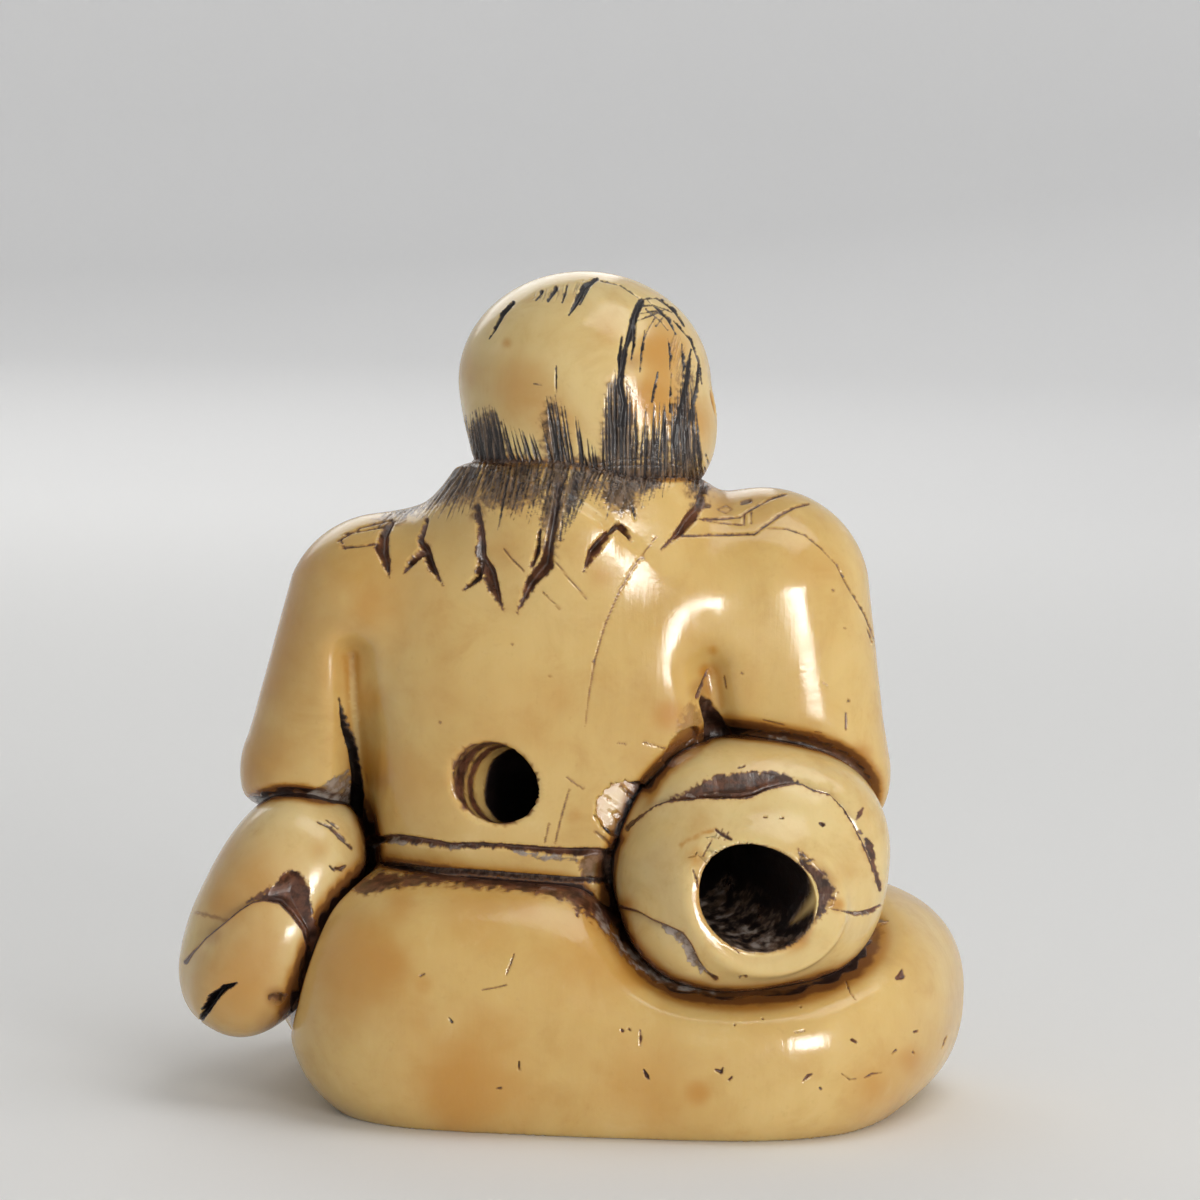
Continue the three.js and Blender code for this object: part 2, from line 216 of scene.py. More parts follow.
class Drawing:
    """Depth in millimetres, and stains and painted shadow from 0 to 1, over a rectangle in the drawing's own
    units.
    """

    LAYERS = ("depth", "ink", "brown", "grey", "amber")

    def __init__(self, low, high, cell, unit):
        self.low, self.cell, self.unit = np.array(low, float), cell, unit
        shape = tuple(np.ceil((np.array(high) - self.low) / cell).astype(int) + 1)
        self.layers = np.zeros(shape + (len(self.LAYERS),), F)
        self.gap = np.full(shape, 9.0, F)

    def window(self, points, pad):
        last = np.array(self.gap.shape)
        first = np.clip(((points.min(0) - pad - self.low) / self.cell).astype(int), 0, last)
        last = np.clip(((points.max(0) + pad - self.low) / self.cell).astype(int) + 2, 0, last)
        x, y = (self.low[k] + np.arange(first[k], last[k]) * self.cell for k in (0, 1))
        return tuple(slice(a, b) for a, b in zip(first, last)), *np.meshgrid(x, y, indexing="ij")

    def lay(self, where, x, y, gap, depth, soft, rough, stains_and_shading, cuts=True):
        if rough:
            at = np.stack([x.ravel(), y.ravel(), np.zeros(x.size)], 1) * self.unit
            ragged = noise(at, 0.16, 5) + 0.6 * noise(at, 0.07, 6)
            gap = gap + (rough * ragged).reshape(x.shape) / self.unit
        cover = np.clip(0.5 - gap / (2 * soft), 0, 1)
        cover = cover * cover * (3 - 2 * cover)
        part = self.layers[where]
        if depth is not None:
            deeper = np.abs(depth) > np.abs(part[..., 0])
            part[..., 0] = np.where(deeper, depth, part[..., 0])
        for name, strength in stains_and_shading.items():
            k = self.LAYERS.index(name)
            part[..., k] = np.maximum(part[..., k], strength * cover)
        if cuts:
            self.gap[where] = np.minimum(self.gap[where], gap * self.unit)

    def stroke(self, *line, depth=0.0, soft=0.8, rough=0.03, cuts=True, **stains_and_shading):
        """A cut along points of (across, down, width), V-shaped, as deep as it is wide there."""
        line = np.array(line, float)
        where, x, y = self.window(line[:, :2], line[:, 2].max() / 2 + 1.2 * soft + 0.18 / self.unit)
        gap, half = np.full(x.shape, 99.0), np.ones(x.shape)
        for (x0, y0, w0), (x1, y1, w1) in zip(line[:-1], line[1:]):
            share, away = to_segment(x, y, x0, y0, x1, y1)
            h = (w0 + (w1 - w0) * share) / 2
            g = away - h
            half = np.where(g < gap, h, half)
            gap = np.minimum(g, gap)
        inside = np.clip(-gap / half, 0, 1)
        deep = depth * half / (line[:, 2].max() / 2) * inside ** 0.8
        self.lay(where, x, y, gap, deep if depth else None, soft, rough, stains_and_shading, cuts)

    def patch(self, *corners, depth=0.0, slope=1.0, soft=1.0, rough=0.04, cuts=True, **stains_and_shading):
        """A sunk or stained area inside the corners, with sides that fall by slope."""
        corners = np.array(corners, float)
        where, x, y = self.window(corners, 1.2 * soft + 0.18 / self.unit)
        gap, inside = np.full(x.shape, 1e9), np.zeros(x.shape, bool)
        for (x0, y0), (x1, y1) in zip(corners, np.roll(corners, -1, 0)):
            dx, dy = x1 - x0, y1 - y0
            gap = np.minimum(gap, to_segment(x, y, x0, y0, x1, y1)[1])
            crosses = (y0 > y) != (y1 > y)
            inside ^= crosses & (x < x0 + dx * (y - y0) / (dy if dy else 1e-9))
        gap = np.where(inside, -gap, gap)
        fall = np.maximum(-gap, 0) * self.unit * slope
        deep = np.sign(depth) * abs(depth) * np.tanh(fall / max(abs(depth), 1e-6))
        self.lay(where, x, y, gap, deep if depth else None, soft, rough, stains_and_shading, cuts)

    def spot(self, x, y, radius, name, strength):
        """A soft stain that fades out to about its radius, with an uneven edge."""
        where, xs, ys = self.window(np.array([(x, y)]), 1.4 * radius + self.cell)
        at = np.stack([xs.ravel(), ys.ravel(), np.full(xs.size, x)], 1) * self.unit
        wander = 1 + (0.25 * noise(at, 1.7, 8) + 0.12 * noise(at, 0.5, 9)).reshape(xs.shape)
        cover = np.clip(1 - ((xs - x) ** 2 + (ys - y) ** 2) / (radius * wander) ** 2, 0, 1) ** 2
        k = self.LAYERS.index(name)
        part = self.layers[where]
        part[..., k] = 1 - (1 - part[..., k]) * (1 - strength * cover)

    def fold(self, *line, depth=0.2, reach=10.0, soft=0.8, rough=0.0, **stains_and_shading):
        """A step along a line: the form on its left-hand side, as drawn, dips under the other."""
        line = np.array(line, float)
        where, x, y = self.window(line, reach + 2)
        nearest, side, along = np.full(x.shape, 1e9), np.ones(x.shape), np.zeros(x.shape)
        spans = np.hypot(*(line[1:] - line[:-1]).T)
        done = 0.0
        for (x0, y0), (x1, y1), span in zip(line[:-1], line[1:], spans):
            dx, dy = x1 - x0, y1 - y0
            share, g = to_segment(x, y, x0, y0, x1, y1)
            closer = g < nearest
            nearest = np.where(closer, g, nearest)
            side = np.where(closer, (dx * (y - y0) - dy * (x - x0)) / span, side)
            along = np.where(closer, (done + share * span) / spans.sum(), along)
            done += span
        ends = np.clip(np.minimum(along, 1 - along) * 8, 0, 1)
        roll = 1 - np.sqrt(1 - np.clip(1 - nearest / reach, 0, 1) ** 2)
        deep = depth * ends * roll * np.clip(0.5 - side / 1.2, 0, 1)
        self.lay(where, x, y, nearest - 2.6, deep, soft, rough, stains_and_shading)
        # A warm amber-brown band beside the fold: partly the ivory's stain, partly painted shade on the roll
        self.lay(where, x, y, nearest - 3.0, None, 8.0, 0.1, {"amber": 0.5, "brown": 0.25}, False)

    def read(self, x, y):
        c = (np.stack([x, y], 1) - self.low) / self.cell
        outside = ((c < 0) | (c > np.array(self.gap.shape) - 1.001)).any(1)
        c = np.clip(c, 0, np.array(self.gap.shape) - 1.001)
        base = c.astype(int)
        f = (c - base).astype(F)
        layers, gap = np.zeros((len(x), len(self.LAYERS)), F), np.zeros(len(x), F)
        for dx, dy in itertools.product((0, 1), repeat=2):
            weight = np.abs(1 - dx - f[:, 0]) * np.abs(1 - dy - f[:, 1])
            layers += weight[:, None] * self.layers[base[:, 0] + dx, base[:, 1] + dy]
            gap += weight * self.gap[base[:, 0] + dx, base[:, 1] + dy]
        layers[outside], gap[outside] = 0, 9
        return layers, gap


def from_behind(left, top, right, bottom):
    return Drawing((left, top), (right, bottom), 0.5, 1 / PIXELS_PER_MM)


def shaded(drawing, **spots):
    """Soft round stains of each kind: across, down, radius, strength."""
    for kind, places in spots.items():
        for x, y, radius, strength in places:
            drawing.spot(x, y, radius, kind, strength)


def strands(drawing, rng, roots, tips, width, step, lean_noise=3.0, **stains_and_shading):
    """Fine cuts that run from one drawn line to another, thin at both ends."""
    roots, tips = np.array(roots, float), np.array(tips, float)
    length = np.hypot(*(tips[1:] - tips[:-1]).T).sum()
    share_at = np.concatenate([[0], np.cumsum(np.hypot(*(tips[1:] - tips[:-1]).T))]) / length
    root_share = np.linspace(0, 1, len(roots)) if len(roots) != len(tips) else share_at
    for share in np.arange(0, 1, step / length):
        share = float(np.clip(share + rng.uniform(-0.6, 0.6) * step / length, 0, 1))
        start = np.array([np.interp(share, root_share, roots[:, k]) for k in (0, 1)])
        end = np.array([np.interp(share, share_at, tips[:, k]) for k in (0, 1)])
        way = end - start
        end = start + way * rng.uniform(0.78, 1.12)
        middle = (start + end) / 2 + rng.uniform(-1, 1, 2) * lean_noise * 0.5
        w = width * rng.uniform(0.45, 1.2)
        drawing.stroke((*start, 0.4), (*(start + (end - start) * 0.3), w), (*middle, w), (*end, 0.5),
                       depth=0.05 + 0.03 * w, soft=0.6, rough=0.01,
                       **{name: strength * rng.uniform(0.75, 1.0) for name, strength in stains_and_shading.items()})


def draw_head():
    d = from_behind(425, 255, 745, 515)
    rng = np.random.default_rng(11)
    amber = [
        (507, 343, 9, 0.7), (520, 392, 58, 0.65), (662, 350, 52, 1.0), (650, 400, 46, 1.0),
        (690, 420, 40, 0.8), (606, 330, 26, 0.4), (463, 370, 40, 0.5), (560, 430, 50, 0.6),
        (480, 300, 30, 0.4),
    ]
    brown = [(632, 362, 18, 0.4), (690, 450, 22, 0.35), (640, 470, 26, 0.35), (520, 474, 30, 0.3)]
    shaded(d, amber=amber, brown=brown)
    # The fringe: roots on the crown's lower edge, tips at the neck crease
    roots = [
        (452, 442), (457, 425), (468, 420), (480, 412), (490, 411), (500, 416), (512, 426), (528, 432),
        (540, 436), (546, 402), (556, 400), (570, 410), (580, 422), (590, 444), (600, 448), (605, 402),
        (613, 376), (622, 370), (632, 398), (645, 404), (660, 402), (675, 402), (684, 378), (690, 372),
        (694, 384), (698, 432),
    ]
    lean = lambda x: np.interp(x, [452, 480, 520, 560, 600, 650, 690, 698], [4, 14, 20, 14, 3, -4, 6, 8])
    tips = [(x + lean(x), 500) for x, _ in roots]
    strands(d, rng, roots, tips, 3.2, 4.4, ink=0.95)
    strands(d, rng, [(x, y + 22) for x, y in roots], tips, 2.8, 3.8, ink=0.9)
    lock_spans = [(456, 506), (542, 566), (603, 640), (668, 700)]
    for left, right in lock_spans:
        above = [(x, y - 6) for x, y in roots if left <= x <= right]
        below = [(x + lean(x), 500) for x, _ in above]
        strands(d, rng, above, below, 3.6, 3.4, ink=0.95)
    hair_washes = [
        [(456, 438), (470, 424), (490, 412), (500, 428), (512, 468), (506, 500), (462, 500), (455, 460)],
        [(543, 412), (552, 400), (562, 424), (572, 470), (572, 500), (546, 500)],
        [(605, 412), (612, 382), (622, 374), (631, 400), (640, 452), (638, 500), (604, 500), (603, 440)],
        [(642, 436), (664, 436), (670, 500), (640, 500)],
        [(668, 424), (684, 376), (693, 382), (690, 440), (706, 478), (704, 500), (672, 500)],
    ]
    for corners in hair_washes:
        d.patch(*corners, soft=10, rough=0.25, cuts=False, ink=0.66, brown=0.5)
    neck_wash = [(460, 462), (520, 466), (600, 455), (700, 458), (704, 500), (460, 500)]
    d.patch(*neck_wash, soft=9, rough=0.25, cuts=False, ink=0.6, brown=0.5)
    neck_creases = [
        [(466, 478), (496, 472), (530, 470), (563, 469)],
        [(590, 465), (620, 460), (650, 459), (682, 466)], [(575, 470), (620, 466), (660, 466)],
    ]
    for line in neck_creases:
        d.stroke(*((x, y, 2.4) for x, y in line), depth=0.08, soft=1.0, brown=0.75)
    crown_locks = [
        [(641, 301, 7), (634, 318, 8), (630, 334, 7), (626, 348, 5), (622, 368, 6), (620, 384, 7),
         (624, 404, 8), (621, 424, 9)],
        [(622, 337, 2), (619, 357, 3.5), (620, 376, 4)], [(636, 312, 3), (634, 345, 3), (631, 360, 1)],
        [(597, 279, 4), (585, 286, 7), (577, 301, 6), (569, 315, 1.5)], [(588, 288, 3), (580, 304, 2)],
        [(556, 288, 5), (548, 301, 2.5)], [(567, 285, 2.5), (562, 302, 1.5)],
        [(542, 291, 3), (536, 300, 1.5)], [(513, 303, 4), (502, 315, 5), (495, 329, 3.5), (489, 339, 1)],
        [(556, 366, 1), (556, 378, 1.6), (556, 392, 1)],
        [(691, 350, 2), (688, 376, 5), (684, 398, 6), (678, 425, 7), (676, 445, 8)],
        [(699, 362, 2), (697, 390, 4), (691, 415, 3), (688, 440, 3)],
        [(674, 321, 1.5), (691, 340, 2), (699, 362, 2.2), (702, 384, 1.2)],
        [(658, 372, 1), (655, 388, 3), (652, 402, 2)], [(645, 330, 1), (642, 352, 3), (640, 372, 1)],
        [(668, 338, 1), (671, 356, 2.5), (670, 370, 1)], [(682, 344, 1), (685, 366, 3), (683, 384, 1)],
        [(662, 300, 2), (676, 312, 4), (684, 326, 1)], [(655, 306, 2), (668, 318, 4), (676, 334, 1)],
        [(672, 368, 1), (671, 390, 2), (670, 412, 2)],
    ]
    for line in crown_locks:
        d.stroke(*line, depth=0.16, ink=0.92)
    crown_wisps = [
        [(641, 299), (656, 298), (668, 306)], [(640, 306), (655, 305), (672, 312)],
        [(641, 313), (655, 311), (668, 318)], [(648, 300), (660, 312), (671, 322)],
        [(655, 318), (649, 328), (645, 336)], [(664, 316), (656, 326)],
        [(646, 309), (662, 322), (668, 330)], [(638, 320), (650, 316), (664, 310)],
        [(601, 281), (620, 285), (641, 299)], [(706, 455), (711, 470)], [(703, 462), (708, 478)],
        [(541, 385), (534, 384)], [(552, 432), (558, 446), (560, 462)],
    ]
    for line in crown_wisps:
        d.stroke(*((x, y, 1.6) for x, y in line), depth=0.06, soft=0.6, ink=0.7)
    # Streaks of the crown, grey and worn
    worn_left = [[(536, 292), (560, 284), (600, 276)], [(530, 301), (556, 304), (590, 292)]]
    strands(d, rng, *worn_left, 1.6, 4, ink=0.5)
    worn_right = [[(676, 330), (690, 352), (697, 372)], [(668, 356), (680, 392), (690, 412)]]
    strands(d, rng, *worn_right, 1.6, 3, ink=0.5)
    return d


def draw_body():
    d = from_behind(170, 430, 925, 935)
    rng = np.random.default_rng(12)
    amber = [
        (280, 640, 150, 0.8), (400, 600, 90, 0.5), (400, 780, 80, 0.5), (250, 760, 80, 0.8),
        (440, 690, 60, 0.4), (505, 552, 40, 0.6), (520, 720, 90, 0.35), (600, 575, 24, 0.6),
        (713, 650, 10, 0.8), (707, 672, 14, 1.0), (668, 715, 26, 0.8), (728, 722, 16, 1.0),
        (372, 700, 24, 0.7), (372, 770, 26, 0.9), (862, 752, 20, 0.9), (560, 700, 30, 0.25),
        (800, 570, 46, 0.35), (270, 690, 30, 0.5), (300, 560, 40, 0.3), (650, 580, 26, 0.3),
        (575, 815, 12, 0.5),
    ]
    brown = [
        (250, 700, 60, 0.12), (700, 690, 18, 0.5), (380, 782, 18, 0.3), (760, 505, 24, 0.16),
        (725, 506, 20, 0.2),
    ]
    grey = [(870, 600, 22, 0.14)]
    shaded(d, amber=amber, brown=brown, grey=grey)
    # Hair that lies on the shoulders
    roots = [
        (446, 460), (456, 456), (470, 455), (484, 455), (503, 455), (530, 454), (556, 452), (580, 450),
        (603, 450), (626, 450), (648, 450), (668, 452), (690, 454), (704, 458),
    ]
    tips = [
        (378, 528), (398, 520), (428, 512), (452, 516), (472, 508), (500, 524), (522, 512), (545, 532),
        (562, 540), (580, 508), (602, 512), (622, 518), (640, 506), (656, 498), (676, 486), (692, 494),
        (704, 512),
    ]
    strands(d, rng, roots, tips, 2.6, 4.0, ink=0.85)
    strands(d, rng, roots, [(x, y - 12) for x, y in tips], 2.2, 3.6, ink=0.8)
    shoulder_washes = [
        ([(372, 524), (400, 500), (440, 460), (480, 455), (486, 520), (478, 530), (468, 503), (430, 509),
          (395, 524)],
         0.42),
        ([(478, 455), (545, 455), (542, 500), (505, 510), (480, 508)], 0.42),
        ([(545, 455), (572, 455), (566, 512), (553, 560), (546, 560), (541, 510)], 0.5),
        ([(572, 455), (604, 455), (602, 492), (580, 494)], 0.4),
        ([(602, 450), (668, 450), (660, 488), (640, 495), (632, 515), (605, 508), (600, 488)], 0.55),
        ([(660, 450), (706, 452), (708, 500), (694, 508), (684, 480)], 0.5),
    ]
    for corners, strength in shoulder_washes:
        d.patch(*corners, soft=8, rough=0.25, cuts=False, ink=strength + 0.08, brown=0.55)
    # Deep V cuts between the locks' ends
    lock_cuts = [
        [(393, 522, 4), (384, 534, 10), (382, 548, 14), (386, 562, 9), (389, 577, 1)],
        [(427, 520, 4), (420, 540, 7), (425, 550, 11), (432, 568, 8), (443, 585, 1)],
        [(421, 552, 9), (410, 563, 8), (404, 573, 1)],
        [(477, 505, 5), (481, 535, 8), (481, 557, 11), (489, 573, 15), (495, 592, 11), (503, 610, 1)],
        [(480, 562, 7), (478, 577, 8), (468, 586, 5), (464, 590, 1)],
        [(559, 483, 6), (554, 520, 9), (549, 549, 10), (546, 565, 17), (531, 583, 12), (517, 613, 1)],
        [(540, 530, 3), (537, 553, 6), (532, 566, 4)],
        [(618, 524, 4), (603, 539, 9), (593, 552, 11), (583, 572, 1)],
        [(617, 525, 5), (625, 531, 7), (632, 542, 1)],
        [(706, 478, 6), (699, 508, 9), (690, 519, 13), (680, 532, 9), (661, 549, 1)],
    ]
    for line in lock_cuts:
        d.stroke(*line, depth=0.5, rough=0.06, brown=0.9)
    fine_cuts = [
        [(563, 512, 2), (562, 526, 2.4), (560, 541, 1)], [(582, 500, 2), (577, 512, 1)],
        [(633, 508, 3), (635, 519, 2)],
    ]
    for line in fine_cuts:
        d.stroke(*line, depth=0.12, ink=0.8)
    # Collar and the border of the robe
    robe_border = [
        ([(345, 534), (372, 529), (389, 526)], 1.8), ([(343, 548), (362, 546), (382, 543)], 1.8),
        ([(341, 540), (345, 549)], 2), ([(338, 541), (360, 528), (392, 520)], 1.5),
        ([(677, 536), (715, 535), (754, 534), (762, 528), (780, 515), (795, 507), (808, 504)], 2.6),
        ([(700, 519), (720, 519), (740, 517), (748, 511), (770, 499), (786, 494)], 2.2),
        ([(702, 520), (722, 523), (742, 525)], 1.2), ([(744, 514), (744, 525)], 1.6),
        ([(751, 512), (751, 523)], 1.6),
        ([(767, 528), (787, 529), (805, 535), (822, 549), (837, 565)], 1.2),
        ([(837, 565), (846, 583), (865, 615), (876, 643), (885, 672), (890, 707), (891, 745)], 2.0),
        ([(867, 628), (872, 642)], 1.4), ([(720, 490), (745, 489)], 1.2),
    ]
    for line, width in robe_border:
        d.stroke(*((x, y, width) for x, y in line), depth=0.09, soft=0.7, brown=0.85, ink=0.3)
    border_dashes = [(705, 507), (746, 502)]
    for x, y in border_dashes:
        d.stroke((x - 4, y + 1, 4), (x + 4, y - 1, 4.5), depth=0.08, brown=0.7, ink=0.45)
    border_ring = [(718, 509, 1.6), (726, 505, 1.6), (732, 509, 1.6), (726, 513, 1.6), (719, 510, 1.6)]
    d.stroke(*border_ring, depth=0.05, brown=0.7)
    # The long crack and the short scratches
    long_crack = [
        (657, 536, 1.0), (637, 562, 1.6), (620, 590, 1.8), (605, 625, 1.7), (595, 660, 1.7),
        (589, 695, 1.5), (585, 728, 0.8),
    ]
    d.stroke(*long_crack, depth=0.07, soft=0.55, rough=0.008, brown=0.8, amber=0.5)
    scratches = [
        ([(504, 549), (513, 560), (524, 571)], 2.2), ([(550, 555), (568, 577), (587, 599)], 1.5),
        ([(543, 592), (560, 609)], 1.4), ([(567, 777), (574, 783), (584, 789)], 1.7),
        ([(569, 790), (561, 818), (555, 843)], 2.0), ([(549, 824), (545, 842)], 2.0),
        ([(618, 743), (626, 744)], 1.8), ([(643, 742), (654, 745), (666, 749)], 1.4),
        ([(763, 720), (784, 725)], 1.5), ([(846, 713), (846, 729)], 2.4), ([(724, 676), (726, 688)], 1.5),
        ([(822, 682), (828, 686)], 1.2), ([(815, 732), (822, 733)], 1.4),
    ]
    for line, width in scratches:
        d.stroke(*((x, y, width) for x, y in line), depth=0.06, soft=0.55, rough=0.012, brown=0.8)
    pits = [
        (849, 701, 2.6), (643, 558, 2.4), (833, 590, 2), (550, 676, 2), (512, 644, 1.8), (845, 628, 2),
        (742, 673, 2), (594, 661, 2.4), (440, 722, 1.8), (271, 795, 4),
    ]
    for x, y, w in pits:
        d.stroke((x - 0.6, y, w), (x + 0.6, y + 0.4, w), depth=0.06, brown=0.75)
    # Right armpit: a scraped facet and the dark hollow beside its ridge
    armpit_crease = [(708, 668, 1.5), (702, 684, 3), (697, 697, 4)]
    d.stroke(*armpit_crease, depth=0.2, brown=1.0)
    armpit_hollow = [(701, 694), (699, 702), (704, 722), (704, 759), (734, 740), (722, 717), (711, 700)]
    d.patch(*armpit_hollow, depth=1.0, slope=1.6, soft=1.6, brown=1.0, ink=0.45)
    shaded(d, brown=[(716, 735, 12, 1.0)])
    armpit_facet = [
        (690, 700), (701, 714), (703, 757), (668, 782), (640, 806), (622, 787), (637, 786), (662, 755),
        (674, 735),
    ]
    d.patch(*armpit_facet, soft=3.0, rough=0.15, brown=0.56, grey=0.25)
    facet_left, facet_low = 641, 792
    for i in range(9):
        x, y = facet_left + 5.2 * i, facet_low - 5.6 * i
        d.stroke((x - 6, y + 2, 1.2), (x + 6, y - 6, 1.6), (x + 16, y - 15, 0.8), depth=0.06, brown=0.55)
    # The bright scraped patch beside the right sleeve end
    scraped_left, scraped_top = 604, 796
    for i in range(14):
        x, y = scraped_left + rng.uniform(0, 30), scraped_top + rng.uniform(0, 44)
        d.stroke(
            (x, y, 1.0), (x + rng.uniform(3, 9), y + rng.uniform(2, 8), 1.4), (x + 12, y + 9, 0.6),
            depth=0.07, brown=0.35,
        )
    facet_top_edge = [(621, 786, 2), (631, 795, 3), (642, 806, 2)]
    d.stroke(*facet_top_edge, depth=0.12, brown=0.8)
    facet_low_edge = [(596, 832, 3), (606, 840, 4), (616, 850, 3)]
    d.stroke(*facet_low_edge, depth=0.1, brown=0.7)
    # Dirt along the edge of the right arm
    arm_edge_dirt = [
        (735, 738, 2), (762, 734, 5), (790, 736, 8), (812, 741, 9), (832, 751, 10), (850, 762, 10),
        (864, 782, 8), (874, 802, 6), (884, 822, 3),
    ]
    d.stroke(*arm_edge_dirt, soft=1.5, rough=0.12, brown=0.75, ink=0.2, cuts=False)
    arm_edge_dust = [(770, 738, 2), (795, 740, 6), (808, 746, 4)]
    d.stroke(*arm_edge_dust, soft=1.2, rough=0.1, grey=0.95, cuts=False)
    arm_side_dust = [(846, 762, 3), (856, 776, 6), (864, 790, 5), (870, 806, 2)]
    d.stroke(*arm_side_dust, soft=1.2, rough=0.12, grey=0.9, cuts=False)
    arm_edge_start = [(740, 735, 1.5), (752, 731, 2), (762, 729, 1)]
    d.stroke(*arm_edge_start, depth=0.05, brown=0.9)
    # Left arm: a slit behind the elbow, painted black as the shadow in the gap between arm and trunk, and a
    # grey worn facet
    elbow_gap_shadow = [
        (339, 698), (346, 716), (355, 738), (361, 771), (364, 796), (362, 826), (358, 842), (351, 836),
        (350, 815), (352, 777), (348, 750), (341, 726),
    ]
    d.patch(*elbow_gap_shadow, depth=1.0, slope=2.4, soft=1.6, rough=0.05, ink=0.9, brown=1.0)
    elbow_facet = [(350, 768), (330, 780), (306, 794), (300, 808), (322, 816), (352, 818), (354, 790)]
    d.patch(*elbow_facet, depth=0.12, slope=1.0, soft=2.5, rough=0.1, grey=0.75, ink=0.35)
    elbow_cuts = [
        [(296, 791, 3), (308, 796, 4), (320, 792, 2)], [(300, 803, 2), (320, 802, 3), (345, 810, 2)],
        [(285, 820, 2), (305, 812, 4), (335, 813, 3)],
    ]
    for line in elbow_cuts:
        d.stroke(*line, depth=0.1, rough=0.05, brown=0.85)
    elbow_mark = [(272, 812, 8), (282, 811, 7)]
    d.stroke(*elbow_mark, soft=2.5, rough=0.1, brown=0.85)
    # The sash: two grooves with old dirt in them
    upper_groove = [
        (356, 846, 8), (372, 840, 9), (400, 838, 8), (430, 843, 8), (450, 846, 7), (480, 845, 6),
        (510, 847, 6), (540, 850, 7), (562, 852, 9), (592, 852, 9), (618, 854, 8),
    ]
    d.stroke(*upper_groove, depth=0.34, rough=0.06, brown=0.95, ink=0.35)
    lower_groove = [
        (356, 877, 7), (375, 872, 8), (400, 870, 8), (440, 871, 7), (480, 873, 6), (530, 877, 6),
        (575, 880, 6), (620, 881, 6),
    ]
    d.stroke(*lower_groove, depth=0.4, rough=0.04, brown=1.0, ink=0.6)
    groove_dust = [
        [(372, 846, 2), (388, 841, 5), (405, 843, 2)], [(418, 845, 2), (450, 848, 3), (480, 846, 1)],
        [(515, 851, 2), (545, 857, 6), (570, 858, 5), (585, 860, 2)],
    ]
    for line in groove_dust:
        d.stroke(*line, soft=1.2, rough=0.1, grey=0.7, ink=0.4, cuts=False)
    sash_left_end = [(355, 842), (372, 851), (366, 866), (372, 876), (356, 882)]
    d.patch(*sash_left_end, depth=0.5, slope=1.4, brown=0.8, ink=0.8)
    sash_right_end = [(576, 862), (592, 850), (614, 853), (614, 882), (582, 880)]
    d.patch(*sash_right_end, depth=0.2, slope=0.8, rough=0.12, brown=0.75, grey=0.35)
    sash_right_cut = [(610, 850, 6), (608, 868, 8), (612, 884, 7)]
    d.stroke(*sash_right_cut, depth=0.35, brown=0.8, ink=0.5)
    return d


